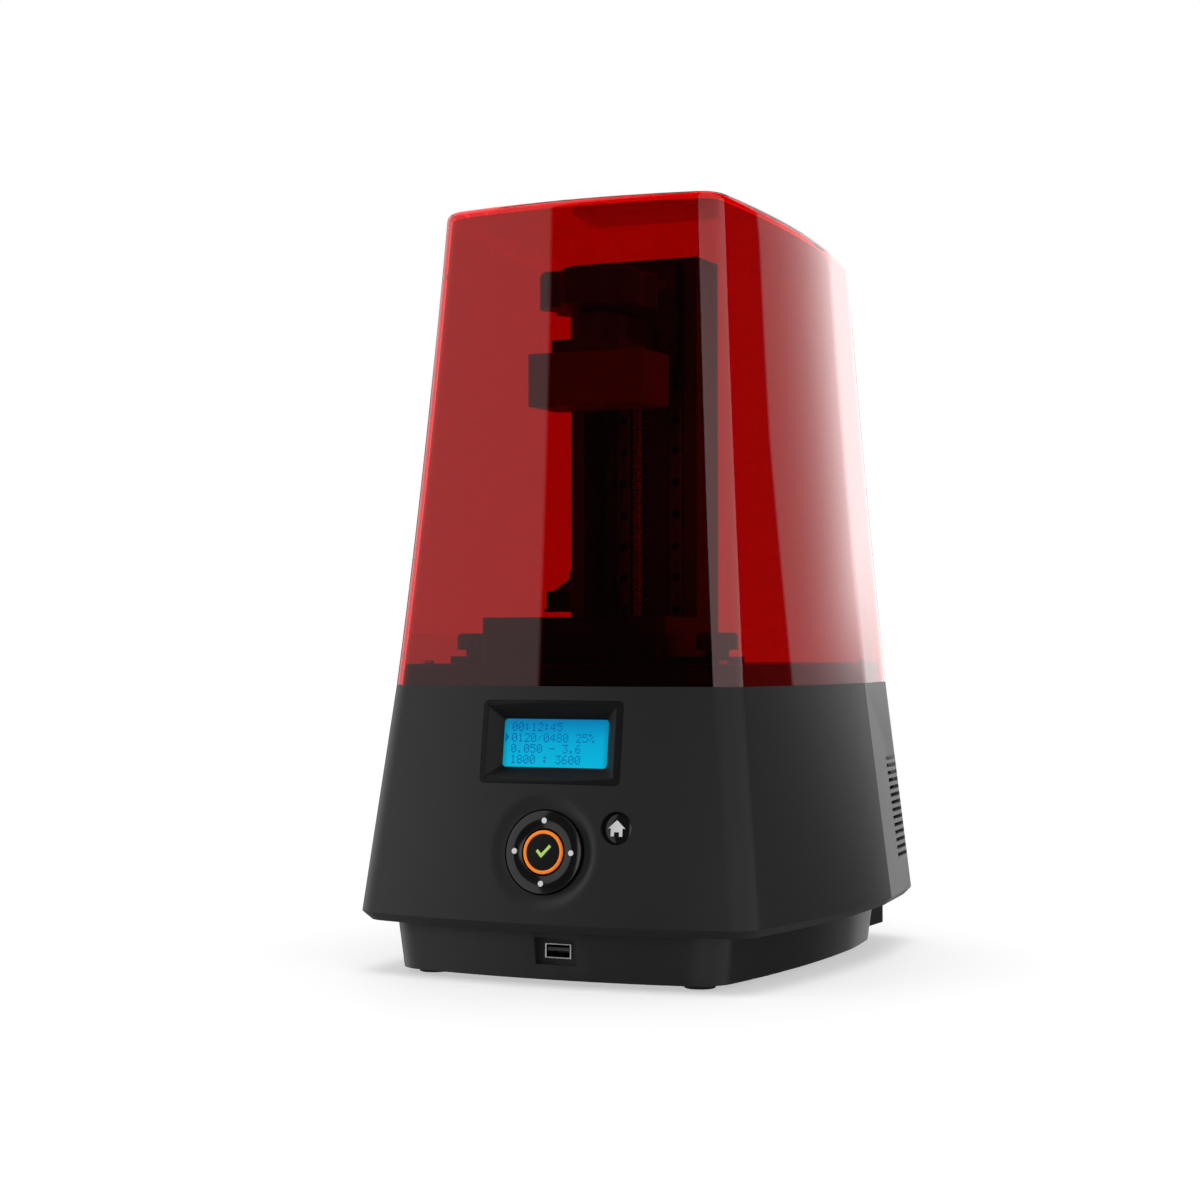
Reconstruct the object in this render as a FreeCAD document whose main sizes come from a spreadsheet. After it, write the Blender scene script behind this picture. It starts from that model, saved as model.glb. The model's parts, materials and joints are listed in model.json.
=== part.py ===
import FreeCAD, Part
import math
import os

import Sketcher

# A desktop resin printer: a flared two-piece housing on a plinth, a lift column on its deck and a clear hood.
# Millimetres. X to the right seen from the front, the front faces -Y, Z up.
# The origin is on the floor under the middle of the housing.

sizeTable = {
    # Housing outline, seen from above
    "body_width": 280, "body_depth": 337,
    "front_bow_radius": 466, "side_bow_radius": 830,
    "front_corner_radius": 18, "rear_corner_radius": 48,
    "parting_y": 60, "rear_facet_angle": 8,
    # Housing heights and walls
    "skirt_z": 36, "skirt_chamfer": 5, "seam_z": 171,
    "seam_width": 245, "seam_front": 150.3,
    "shell_wall": 3, "rim_thickness": 4, "rim_width": 14,
    # Plinth
    "foot_height": 3, "foot_radius": 9, "foot_side": 29, "foot_front": 27, "foot_back": 40,
    "foot_recess": 1,
    "plinth_side": 25, "plinth_front": 13.5, "plinth_back": 16.5, "plinth_flare": 3.2,
    "plinth_wall": 3, "plinth_corner_radius": 23, "plinth_rear_radius": 60,
    "pan_flange": 3, "pan_clearance": 0.3,
    # Hood
    "hood_height": 288, "hood_wall": 3, "hood_clearance": 0.6, "hood_waist": 1.2,
    "hood_top_width": 198, "hood_top_front": 121, "hood_top_back": 158,
    "roof_slope": 0.046, "roof_edge_radius": 5,
    # Deck
    "deck_height": 12.5, "deck_wall": 4, "deck_plate": 5, "deck_draft": 1.6,
    "deck_screw_radius": 3, "deck_screw_head": 2.4, "deck_screw_x": 96, "deck_screw_front": 118,
    "deck_screw_back": 128,
    "window_width": 84, "window_depth": 46, "window_rebate": 4, "window_glass": 2.5,
    # Front panel: x across, rise along the leaning face from the skirt edge, depth behind the face
    "display_x": 3.5, "display_rise": 104, "bezel_width": 89, "bezel_height": 48, "bezel_depth": 8.5,
    "bezel_fit": 0.2, "bezel_rim": 1.6, "bezel_set": 7.5, "screen_width": 67.5, "screen_height": 28,
    "bezel_corner": 3, "screen_corner": 2.2, "screen_glass": 1.4, "screen_margin": 2.5,
    "module_thickness": 6, "module_width": 84, "module_height": 42,
    "display_board_width": 104, "display_board_height": 51, "board_thickness": 1.6,
    "dial_x": 3, "dial_rise": 41, "dish_radius": 32, "dish_depth": 4, "dial_hole_radius": 24.6,
    "dish_lift": 0.3, "dish_land": 1.4,
    "dial_boss_radius": 36, "dial_boss_depth": 8,
    "pad_radius": 23.8, "pad_bore_radius": 13.6, "pad_thickness": 5, "pad_set": 1.4, "pad_crown": 18.6,
    "pad_crown_flat": 2.4, "pad_dome": 2.2,
    "carrier_radius": 22, "carrier_bore_radius": 15, "carrier_thickness": 2, "pivot_height": 1.6,
    "pivot_radius": 0.9, "pivot_length": 5, "pivot_gap": 0.2,
    "ok_radius": 12.5, "ok_thickness": 4, "ok_set": 1.2, "ring_width": 2.5, "ring_depth": 1.2,
    "stem_radius": 4, "guide_wall": 2, "guide_height": 3, "guide_fit": 0.06, "button_travel": 1,
    "home_x": 47.6, "home_rise": 56, "home_radius": 9, "home_hole_gap": 0.4, "home_set": 3.4,
    "keypad_left": 32, "keypad_right": 64, "keypad_low": 10, "keypad_high": 72,
    "post_radius": 3, "post_inset": 5,
    # Front USB socket in the plinth
    "usb_x": 8.5, "usb_z": 19.5, "usb_recess_width": 26, "usb_recess_height": 15.5, "usb_recess_depth": 4,
    "usb_width": 16.6, "usb_height": 8.6, "usb_shell": 0.8, "usb_length": 17, "usb_tongue": 1.9,
    "usb_block_wall": 2.5, "usb_board_width": 26, "usb_board_length": 30, "usb_fit": 0.2,
    # Lift column and drive
    "column_width": 86, "column_front": 30, "column_depth": 35, "column_wall": 9.2, "column_back": 4,
    "column_under_roof": 28, "cap_thickness": 3.5,
    "rail_x": 18, "rail_width": 9, "rail_height": 6, "rail_end_gap": 6,
    "rail_screw_head_radius": 2.6, "rail_screw_pitch": 20, "rail_screw_depth": 3,
    "block_width": 20, "block_length": 40, "block_height": 10, "block_lift": 1.5, "rail_fit": 0.05,
    "screw_y": 22, "screw_radius": 4, "bearing_fit": 0.05,
    "coupling_radius": 9, "coupling_length": 20, "coupling_gap": 2, "motor_width": 42, "motor_length": 40,
    "motor_boss_radius": 11, "motor_shaft_radius": 2.5, "motor_corner": 5, "shaft_length": 18,
    "nut_radius": 6, "nut_flange_radius": 11, "nut_flange": 3.5, "nut_length": 16,
    "switch_depth": 6.5, "switch_height": 11, "bracket_z": 216, "bracket_height": 26,
    "bracket_reach": 20, "bracket_sheet": 2,
    # Carriage, arm and platform
    "carriage_width": 60, "carriage_front": 33, "carriage_under_cap": 1, "carriage_height": 61,
    "carriage_screw_x": 21.5, "carriage_screw_inset": 12.5, "carriage_screw_radius": 3.4,
    "carriage_screw_head": 1.2,
    "platform_y": 80.5, "platform_width": 75.5, "platform_depth": 40, "platform_height": 32,
    "platform_drop": 30.5, "clamp_width": 44, "clamp_depth": 39, "clamp_thickness": 7.5,
    "pin_radius": 3.4, "pin_height": 6, "pin_x": 17, "pin_front": 15.5,
    "arm_width": 30, "arm_height": 16, "collar_radius": 17, "stud_radius": 5, "stud_fit": 0.1,
    "stud_grip": 13,
    "knob_radius": 35.5, "knob_height": 22, "knob_lobes": 6, "scallop_radius": 13, "scallop_centre": 42,
    "knob_round": 3, "lobe_round": 5, "knob_gap": 0.3, "knob_boss_radius": 13, "knob_boss": 3,
    # Resin tank
    "tank_width": 119, "tank_front": 121, "tank_depth": 69, "tank_height": 27.8, "tank_wall": 5,
    "tank_corner": 5, "film_thickness": 1, "film_ledge": 6, "film_lift": 1, "tab_width": 24,
    "tab_reach": 92, "tab_thickness": 4.5, "tank_knob_x": 79.5, "tank_knob_y": 86, "tank_knob_radius": 12.5,
    "tank_knob_head": 10, "tank_knob_edge": 1.6, "tank_neck_radius": 7.2, "tank_neck": 4,
    "tank_stud_radius": 3, "tank_stud_length": 10, "tank_hole_gap": 0.5, "grip_count": 10, "grip_radius": 2.2,
    # Light engine
    "engine_width": 110, "engine_depth": 92, "engine_height": 50, "engine_z": 44, "fin_count": 9,
    "fin_gap": 4, "fin_depth": 12, "lens_radius": 22, "lens_length": 46, "lens_step": 3, "lens_bore": 15,
    "lens_dish": 6, "leg_width": 12, "leg_sheet": 3,
    # Electronics in the pan
    "board_gap": 10, "board_side": 21, "board_back": 32, "board_length": 116, "standoff_height": 8,
    "standoff_radius": 3, "board_inset": 6, "chip_size": 16, "chip_height": 3,
    "supply_gap": 16, "supply_side": 15, "supply_back": 40, "supply_length": 108, "supply_height": 38,
    # Rear
    "fan_x": 26, "fan_z": 91, "fan_size": 80, "fan_depth": 25, "fan_bore": 38, "hub_radius": 17,
    "blade_count": 7, "blade_gap": 1.2, "blade_sheet": 1.6, "blade_pitch": 40, "hub_depth": 20,
    "spindle_radius": 3, "spindle_fit": 0.1, "spider_width": 6, "spider_depth": 3,
    "slit_count": 14, "slit_pitch": 4.8, "slit_height": 2.4, "slit_low": 58, "slit_length": 34,
    "slit_front": 100, "back_slit_width": 74,
    "inlet_side": 27, "inlet_z": 19.6, "inlet_rear": 2, "inlet_width": 28, "inlet_height": 20,
    "inlet_depth": 32, "mouth_depth": 17, "inlet_wall": 2.6, "prong_width": 2, "prong_height": 4,
    "prong_pitch": 7, "prong_length": 13,
    "rocker_x": 62, "rocker_z": 64, "rocker_set": 1.2, "rocker_pin": 1.2, "rocker_width": 13,
    "rocker_height": 19, "rocker_wall": 2, "rocker_depth": 14, "rocker_gap": 0.4, "rocker_throw": 8,
    "panel_fit": 0.2,
    "cover_screw_x": 58, "cover_screw_radius": 3, "cover_screw_head": 1.5, "cover_screw_low": 43,
    "cover_screw_high": 150,
}

doc = FreeCAD.newDocument("resin_printer")
sheet = doc.addObject("Spreadsheet::Sheet", "sizes")
for row, (alias, number) in enumerate(sizeTable.items(), 1):
    sheet.set("A%d" % row, alias)
    sheet.set("B%d" % row, str(number))
    sheet.setAlias("B%d" % row, alias)
doc.recompute()


class Size:
    # A number together with the sheet expression that gives it.
    def __init__(self, value, text):
        self.value = value
        self.text = text

    def join(self, other, sign, swap=False):
        other = sized(other)
        first, second = (other, self) if swap else (self, other)
        results = {"+": lambda a, b: a + b, "-": lambda a, b: a - b,
                   "*": lambda a, b: a * b, "/": lambda a, b: a / b}
        value = results[sign](first.value, second.value)
        return Size(value, "(%s %s %s)" % (first.text, sign, second.text))

    def __add__(self, other):
        return self.join(other, "+")

    def __radd__(self, other):
        return self.join(other, "+", True)

    def __sub__(self, other):
        return self.join(other, "-")

    def __rsub__(self, other):
        return self.join(other, "-", True)

    def __mul__(self, other):
        return self.join(other, "*")

    def __rmul__(self, other):
        return self.join(other, "*", True)

    def __truediv__(self, other):
        return self.join(other, "/")

    def __rtruediv__(self, other):
        return self.join(other, "/", True)

    def __neg__(self):
        return self.join(-1, "*")


def sized(number):
    return number if isinstance(number, Size) else Size(float(number), "%.6f" % number)


def root(number):
    return Size(math.sqrt(number.value), "sqrt(%s)" % number.text)


class Sizes:
    def __getattr__(self, alias):
        return Size(float(sizeTable[alias]), "sizes." + alias)


s = Sizes()
nodes = []
nearly = 0.001


def bind(thing, place, size):
    thing.setExpression(place, sized(size).text)


def node(thing, label):
    thing.Label = label
    nodes.append(thing)
    return thing


# Frames: the machine's own, and the front panel's, which leans back with the housing's front
panelSlope = (s.body_depth / 2 - s.seam_front) / (s.seam_z - s.skirt_z)
panelCos = 1 / root(1 + panelSlope * panelSlope)
panelSin = panelSlope * panelCos


def place(thing, x, y, z, frame="machine"):
    if frame == "panel":
        y, z = sized(y), sized(z)
        along = s.skirt_z + y * panelCos + z * panelSin
        back = y * panelSin - z * panelCos - s.body_depth / 2
        thing.Placement.Rotation = FreeCAD.Rotation(FreeCAD.Vector(1, 0, 0), 80)
        thing.setExpression("Placement.Rotation.Angle", "90 deg - atan(%s)" % panelSlope.text)
        y, z = back, along
    for letter, size in zip("xyz", (x, y, z)):
        bind(thing, "Placement.Base." + letter, size)
    return thing


def box(name, x, y, z, dx, dy, dz, frame="machine"):
    # A block centred on x and y that rises dz from z.
    block = doc.addObject("Part::Box", name)
    for side, size in zip(("Length", "Width", "Height"), (dx, dy, dz)):
        bind(block, side, size)
    return place(block, sized(x) - sized(dx) / 2, sized(y) - sized(dy) / 2, z, frame)


def rod(name, x, y, z, radius, height, frame="machine", axis="z"):
    # A cylinder that runs its height along the axis from its first end at x, y, z.
    cylinder = doc.addObject("Part::Cylinder", name)
    bind(cylinder, "Radius", radius)
    bind(cylinder, "Height", height)
    place(cylinder, x, y, z, frame)
    if axis == "y":
        cylinder.Placement.Rotation = FreeCAD.Rotation(FreeCAD.Vector(1, 0, 0), -90)
    if axis == "x":
        cylinder.Placement.Rotation = FreeCAD.Rotation(FreeCAD.Vector(0, 1, 0), 90)
    return cylinder


def fuse(name, *pieces):
    whole = doc.addObject("Part::MultiFuse", name)
    whole.Shapes = list(pieces)
    whole.Refine = True
    return whole


def cut(name, base, *tools):
    result = doc.addObject("Part::Cut", name)
    result.Base = base
    result.Tool = tools[0] if len(tools) == 1 else group(name + "_tools", *tools)
    return result


def group(name, *pieces):
    compound = doc.addObject("Part::Compound", name)
    compound.Links = list(pieces)
    return compound


def overlap(name, first, second):
    common = doc.addObject("Part::Common", name)
    common.Base = first
    common.Tool = second
    return common


def newBody(name):
    return doc.addObject("PartDesign::Body", name)


def newSketch(body, name, role="XY_Plane"):
    sketch = body.newObject("Sketcher::SketchObject", name)
    plane = [item for item in body.Origin.OriginFeatures if item.Role == role][0]
    sketch.AttachmentSupport = (plane, [""])
    sketch.MapMode = "FlatFace"
    return sketch


def rule(sketch, size, *words):
    # A driving constraint that follows the sheet.
    index = sketch.addConstraint(Sketcher.Constraint(*words, sized(size).value))
    sketch.setExpression("Constraints[%d]" % index, sized(size).text)


def tie(sketch, *words):
    sketch.addConstraint(Sketcher.Constraint(*words))


def outline(body, name, z, half, front, back, corner, rear, trim=0, slope=None):
    # The housing's plan: bowed front and sides, rounded front corners, a crease where the rear facets
    # begin, rounded rear corners and a flat back. trim draws every edge in by the same amount.
    trim = sized(trim)
    half, front, back = half - trim, front - trim, back - trim
    bow, side = s.front_bow_radius - trim, s.side_bow_radius - trim
    corner, rear = corner - trim, rear - trim
    frontY = bow.value - front.value
    sideX = half.value - side.value
    reachFront, reachSide = bow.value - corner.value, side.value - corner.value
    gap = math.hypot(sideX, frontY)
    along = (reachFront ** 2 - reachSide ** 2 + gap ** 2) / (2 * gap)
    across = math.sqrt(reachFront ** 2 - along ** 2)
    unitX, unitY = sideX / gap, -frontY / gap
    cornerX = along * unitX - across * unitY
    cornerY = frontY + along * unitY + across * unitX
    tilt = math.radians(sizeTable["rear_facet_angle"])
    creaseY = sizeTable["parting_y"]
    creaseX = sideX + math.sqrt(side.value ** 2 - creaseY ** 2)
    rearY = back.value - rear.value
    rearX = creaseX - rear.value * math.cos(tilt)
    rearX -= (rearY + rear.value * math.sin(tilt) - creaseY) * math.tan(tilt)
    facetX, facetY = rearX + rear.value * math.cos(tilt), rearY + rear.value * math.sin(tilt)
    turnFront = math.atan2(cornerY - frontY, cornerX)
    turnSide = math.atan2(cornerY, cornerX - sideX)
    turnCrease = math.asin(creaseY / side.value)

    def arc(x, y, radius, first, last):
        circle = Part.Circle(FreeCAD.Vector(x, y, 0), FreeCAD.Vector(0, 0, 1), radius)
        return Part.ArcOfCircle(circle, first, last)

    def line(x1, y1, x2, y2):
        return Part.LineSegment(FreeCAD.Vector(x1, y1, 0), FreeCAD.Vector(x2, y2, 0))

    halfTurn = math.pi
    sketch = newSketch(body, name)
    sketch.addGeometry([
        arc(0, frontY, bow.value, -halfTurn - turnFront, turnFront),
        arc(cornerX, cornerY, corner.value, turnFront, turnSide),
        arc(sideX, 0, side.value, turnSide, turnCrease),
        line(creaseX, creaseY, facetX, facetY),
        arc(rearX, rearY, rear.value, tilt, halfTurn / 2),
        line(rearX, back.value, -rearX, back.value),
        arc(-rearX, rearY, rear.value, halfTurn / 2, halfTurn - tilt),
        line(-facetX, facetY, -creaseX, creaseY),
        arc(-sideX, 0, side.value, halfTurn - turnCrease, halfTurn - turnSide),
        arc(-cornerX, cornerY, corner.value, halfTurn - turnSide, halfTurn - turnFront),
    ], False)
    for first, second in ((0, 1), (1, 2), (3, 4), (4, 5), (5, 6), (6, 7), (8, 9), (9, 0)):
        tie(sketch, "Tangent", first, 2, second, 1)
    tie(sketch, "Coincident", 2, 2, 3, 1)
    tie(sketch, "Coincident", 7, 2, 8, 1)
    for kept, same, radius in ((2, 8, side), (1, 9, corner), (4, 6, rear)):
        tie(sketch, "Equal", kept, same)
        rule(sketch, radius, "Radius", kept)
    rule(sketch, bow, "Radius", 0)
    tie(sketch, "PointOnObject", 0, 3, -2)
    rule(sketch, bow - front, "DistanceY", -1, 1, 0, 3)
    for arcIndex in (2, 8):
        tie(sketch, "PointOnObject", arcIndex, 3, -1)
    rule(sketch, side - half, "DistanceX", 2, 3, -1, 1)
    rule(sketch, side - half, "DistanceX", -1, 1, 8, 3)
    rule(sketch, s.parting_y, "DistanceY", -1, 1, 3, 1)
    tie(sketch, "Horizontal", 3, 1, 7, 2)
    angle = sketch.addConstraint(Sketcher.Constraint("Angle", 3, halfTurn / 2 + tilt))
    sketch.setExpression("Constraints[%d]" % angle, "90 deg + sizes.rear_facet_angle * 1 deg")
    tie(sketch, "Horizontal", 3, 2, 7, 1)
    tie(sketch, "Horizontal", 5)
    rule(sketch, back, "DistanceY", -1, 1, 5, 1)
    bind(sketch, "AttachmentOffset.Base.z", z)
    if slope is not None:
        sketch.AttachmentOffset.Rotation = FreeCAD.Rotation(FreeCAD.Vector(-1, 0, 0), 2)
        sketch.setExpression("AttachmentOffset.Rotation.Angle", "atan(%s)" % slope.text)
    return sketch


def loft(body, name, sections, kind="Additive", ruled=True):
    feature = body.newObject("PartDesign::%sLoft" % kind, name)
    feature.Profile = sections[0]
    feature.Sections = sections[1:]
    feature.Ruled = ruled
    feature.Closed = False
    return feature


def polygon(sketch, points):
    # A closed outline of straight edges, each corner held to the sheet.
    corners = [FreeCAD.Vector(sized(x).value, sized(y).value, 0) for x, y in points]
    count = len(corners)
    sketch.addGeometry([Part.LineSegment(corners[i], corners[(i + 1) % count]) for i in range(count)], False)
    for i in range(count):
        tie(sketch, "Coincident", i, 2, (i + 1) % count, 1)
    for i, (x, y) in enumerate(points):
        for size, word, axis in ((sized(x), "DistanceX", -2), (sized(y), "DistanceY", -1)):
            if abs(size.value) < nearly:
                tie(sketch, "PointOnObject", i, 1, axis)
            elif size.value > 0:
                rule(sketch, size, word, -1, 1, i, 1)
            else:
                rule(sketch, -size, word, i, 1, -1, 1)


def turned(name, points):
    # A body turned about its own Z axis from a profile of radius and height.
    body = newBody(name)
    sketch = newSketch(body, name + "_profile", "XZ_Plane")
    polygon(sketch, points)
    feature = body.newObject("PartDesign::Revolution", name + "_turn")
    feature.Profile = sketch
    feature.ReferenceAxis = (sketch, ["V_Axis"])
    feature.Angle = 360
    return body


def extruded(name, points, length, role="XY_Plane", midplane=False):
    body = newBody(name)
    sketch = newSketch(body, name + "_profile", role)
    polygon(sketch, points)
    feature = body.newObject("PartDesign::Pad", name + "_pad")
    feature.Profile = sketch
    feature.Midplane = midplane
    bind(feature, "Length", length)
    return body


def rounded(name, thing, radius, pick):
    # Rounds the edges that the test picks.
    doc.recompute()
    edges = [i for i, edge in enumerate(thing.Shape.Edges, 1) if pick(edge)]
    fillet = doc.addObject("Part::Fillet", name)
    fillet.Base = thing
    fillet.Edges = [(i, sized(radius).value, sized(radius).value) for i in edges]
    return fillet


def towardsPanel(edge):
    # Runs in through the front panel rather than along it.
    ends = edge.Vertexes
    if len(ends) != 2:
        return False
    run = ends[1].Point - ends[0].Point
    return abs(run.z * panelSin.value - run.y * panelCos.value) > run.Length / 2


def upright(edge):
    # Straight and vertical.
    ends = edge.Vertexes
    return len(ends) == 2 and (ends[0].Point - ends[1].Point).cross(FreeCAD.Vector(0, 0, 1)).Length < nearly


# Housing forms: the outer shape and the hollow inside it
halfBody, halfDepth, halfSeam = s.body_width / 2, s.body_depth / 2, s.seam_width / 2


def housingOutline(body, name, z, half, front, trim):
    return outline(body, name, z, half, front, halfDepth, s.front_corner_radius, s.rear_corner_radius, trim)


def skirtOutline(body, name, z, trim):
    # The drawn-in lower edge of the chamfered skirt.
    return housingOutline(body, name, z, halfBody - s.skirt_chamfer, halfDepth - s.skirt_chamfer, trim)


def housingForm(name, trim, top):
    # Chamfered skirt below, then a straight taper up to the seam.
    form = newBody(name)
    base = s.skirt_z - s.skirt_chamfer
    share = (top - s.skirt_z) / (s.seam_z - s.skirt_z)
    half = halfBody + (halfSeam - halfBody) * share
    front = halfDepth + (s.seam_front - halfDepth) * share
    loft(form, name + "_loft", [
        skirtOutline(form, name + "_low", base, trim),
        housingOutline(form, name + "_edge", s.skirt_z, halfBody, halfDepth, trim),
        housingOutline(form, name + "_top", top, half, front, trim),
    ])
    return form


doc.recompute()
outerForm = housingForm("outer_form", sized(0), s.seam_z)
innerForm = housingForm("inner_form", s.shell_wall, s.seam_z - s.rim_thickness)
rimForm = newBody("rim_form")
loft(rimForm, "rim_loft", [
    housingOutline(rimForm, "rim_low", s.seam_z - s.rim_thickness * 2, halfSeam, s.seam_front, s.rim_width),
    housingOutline(rimForm, "rim_high", s.seam_z + s.rim_thickness, halfSeam, s.seam_front, s.rim_width),
])

# Plinth: a tapering pan set in from the skirt, and the flat ring on its rim that closes the skirt's opening
plinthHalf = halfBody - s.plinth_side
plinthFront, plinthBack = halfDepth - s.plinth_front, halfDepth - s.plinth_back
plinthTop = s.skirt_z - s.skirt_chamfer
floorZ = s.foot_height + s.plinth_wall
inletX, inletBack = plinthHalf - s.inlet_side, plinthBack - s.inlet_rear


def plinthOutline(body, name, z, trim):
    grow = s.plinth_flare * (z - s.foot_height) / (plinthTop - s.foot_height)
    return outline(body, name, z, plinthHalf + grow, plinthFront + grow, plinthBack + grow,
                   s.plinth_corner_radius, s.plinth_rear_radius, trim)


def makePlinth():
    outside = newBody("plinth_outside")
    loft(outside, "plinth_outside_loft", [plinthOutline(outside, "plinth_low", s.foot_height, 0),
                                          plinthOutline(outside, "plinth_high", plinthTop, 0)])
    inside = newBody("plinth_inside")
    above = plinthTop + s.pan_flange * 2
    loft(inside, "plinth_inside_loft", [plinthOutline(inside, "plinth_floor", floorZ, s.plinth_wall),
                                        plinthOutline(inside, "plinth_mouth", above, s.plinth_wall)])
    plate = newBody("skirt_plate_outside")
    inset = s.shell_wall + s.pan_clearance
    loft(plate, "skirt_plate_loft", [skirtOutline(plate, "plate_low", plinthTop, inset),
                                     skirtOutline(plate, "plate_high", plinthTop + s.pan_flange, inset)])
    node(cut("plate_ring", plate, inside), "skirt_plate")
    front = -plinthFront - s.plinth_flare / 2
    blockDepth = s.usb_recess_depth + s.usb_block_wall
    block = box("usb_block", s.usb_x, front + blockDepth / 2,
                s.usb_z - s.usb_recess_height / 2 - s.usb_block_wall,
                s.usb_recess_width + s.usb_block_wall * 2, blockDepth + s.plinth_wall,
                s.usb_recess_height + s.usb_block_wall * 2)
    recess = box("usb_recess", s.usb_x, front, s.usb_z - s.usb_recess_height / 2,
                 s.usb_recess_width, s.usb_recess_depth * 2, s.usb_recess_height)
    hole = box("usb_hole", s.usb_x, front, s.usb_z - s.usb_height / 2 - s.usb_fit,
               s.usb_width + s.usb_fit * 2, blockDepth * 4, s.usb_height + s.usb_fit * 2)
    inletHole = box("inlet_hole", inletX, inletBack, s.inlet_z - s.inlet_height / 2 - s.panel_fit,
                    s.inlet_width + s.panel_fit * 2, s.inlet_depth * 2, s.inlet_height + s.panel_fit * 2)
    pan = cut("pan", outside, inside)
    whole = fuse("pan_with_block", pan, overlap("usb_boss", block, outside))
    recesses = [rod("foot_recess_%d" % i, x, y, s.foot_height, s.foot_radius + s.panel_fit, s.foot_recess)
                for i, (x, y) in enumerate(footPlaces())]
    node(cut("plinth", whole, recess, hole, inletHole, *recesses), "base_plinth")


def footPlaces():
    across, front, back = plinthHalf - s.foot_side, plinthFront - s.foot_front, plinthBack - s.foot_back
    return [(x * across, y) for x in (-1, 1) for y in (-front, back)]


makePlinth()
feet = [rod("foot_%d" % i, x, y, 0, s.foot_radius, s.foot_height + s.foot_recess)
        for i, (x, y) in enumerate(footPlaces())]
node(group("feet", *feet), "rubber_feet")

# Front shell: the moulded front and sides with the panel's openings and posts
padBack = s.pad_set + s.pad_thickness
carrierFront = padBack + s.pivot_height + s.pivot_gap
keypadDepth = carrierFront + s.carrier_thickness + s.pivot_height + s.pivot_gap
screenDepth = s.bezel_depth + s.screen_glass
displayBoardDepth = screenDepth + s.module_thickness
keypadX = s.dial_x + (s.keypad_right - s.keypad_left) / 2
keypadY = (s.keypad_low + s.keypad_high) / 2
keypadWidth = s.keypad_left + s.keypad_right
keypadHeight = s.keypad_high - s.keypad_low


def postPlaces():
    for x in (-1, 1):
        for y in (-1, 1):
            yield (keypadX + x * (keypadWidth / 2 - s.post_inset),
                   keypadY + y * (keypadHeight / 2 - s.post_inset), keypadDepth)
            yield (s.display_x + x * (s.display_board_width / 2 - s.post_radius),
                   s.display_rise + y * (s.display_board_height / 2 - s.post_inset), displayBoardDepth)


def makeFrontShell():
    reach = s.body_depth
    front = box("front_half", 0, (s.parting_y - reach) / 2, 0, s.body_width * 2, reach + s.parting_y,
                s.seam_z * 2)
    wall = cut("front_wall", overlap("front_blank", outerForm, front), innerForm, rimForm)
    posts = [rod("post_%d" % i, x, y, -depth, s.post_radius, depth + s.dish_depth, "panel")
             for i, (x, y, depth) in enumerate(postPlaces())]
    boss = rod("dial_boss", s.dial_x, s.dial_rise, -s.dial_boss_depth, s.dial_boss_radius,
               s.dial_boss_depth + s.dish_depth, "panel")
    bosses = overlap("front_bosses", fuse("front_boss_blanks", boss, *posts), outerForm)
    dish = doc.addObject("Part::Torus", "dish")
    lift = (s.dish_radius - s.dial_hole_radius) * s.dish_lift
    bind(dish, "Radius1", s.dial_hole_radius + s.dish_land)
    bind(dish, "Radius2", s.dish_depth + lift)
    place(dish, s.dial_x, s.dial_rise, lift, "panel")
    deep = s.dial_boss_depth * 2
    window = box("display_hole", s.display_x, s.display_rise, -deep, s.bezel_width + s.bezel_fit * 2,
                 s.bezel_height + s.bezel_fit * 2, deep * 2, "panel")
    openings = [
        dish,
        rounded("display_hole_round", window, s.bezel_corner + s.bezel_fit, towardsPanel),
        rod("dial_hole", s.dial_x, s.dial_rise, -deep, s.dial_hole_radius, deep * 2, "panel"),
        rod("home_hole", s.home_x, s.home_rise, -deep, s.home_radius + s.home_hole_gap, deep * 2, "panel")]
    node(cut("shell", fuse("front_wall_with_bosses", wall, bosses), *openings), "front_shell")


makeFrontShell()

# Rear cover: the creased rear moulding with louvres, a switch and screw seats
screwPlaces = [(x * s.cover_screw_x, z) for x in (-1, 1) for z in (s.cover_screw_low, s.cover_screw_high)]


def makeRearCover():
    reach = s.body_depth
    rear = box("rear_half", 0, (s.parting_y + reach) / 2, 0, s.body_width * 2, reach - s.parting_y,
               s.seam_z * 2)
    wall = cut("rear_wall", overlap("rear_blank", outerForm, rear), innerForm, rimForm)
    openings = []
    for i in range(sizeTable["slit_count"]):
        z = s.slit_low + i * s.slit_pitch
        for side in (-1, 1):
            openings.append(box("side_slit_%d_%d" % (side, i), side * halfBody,
                                s.slit_front + s.slit_length / 2, z, s.rear_corner_radius, s.slit_length,
                                s.slit_height))
        openings.append(box("back_slit_%d" % i, -s.fan_x, halfDepth, z, s.back_slit_width, s.shell_wall * 4,
                            s.slit_height))
    openings.append(box("rocker_hole", s.rocker_x, halfDepth, s.rocker_z - s.rocker_height / 2 - s.panel_fit,
                        s.rocker_width + s.panel_fit * 2, s.shell_wall * 4,
                        s.rocker_height + s.panel_fit * 2))
    for i, (x, z) in enumerate(screwPlaces):
        openings.append(rod("cover_screw_seat_%d" % i, x, halfDepth - s.cover_screw_head, z,
                            s.cover_screw_radius + s.panel_fit, s.cover_screw_head, axis="y"))
    node(cut("cover", wall, *openings), "rear_cover")


makeRearCover()
heads = [rod("cover_screw_%d" % i, x, halfDepth - s.cover_screw_head, z, s.cover_screw_radius,
             s.cover_screw_head - s.panel_fit, axis="y") for i, (x, z) in enumerate(screwPlaces)]
node(group("cover_screw_heads", *heads), "cover_screws")

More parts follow.
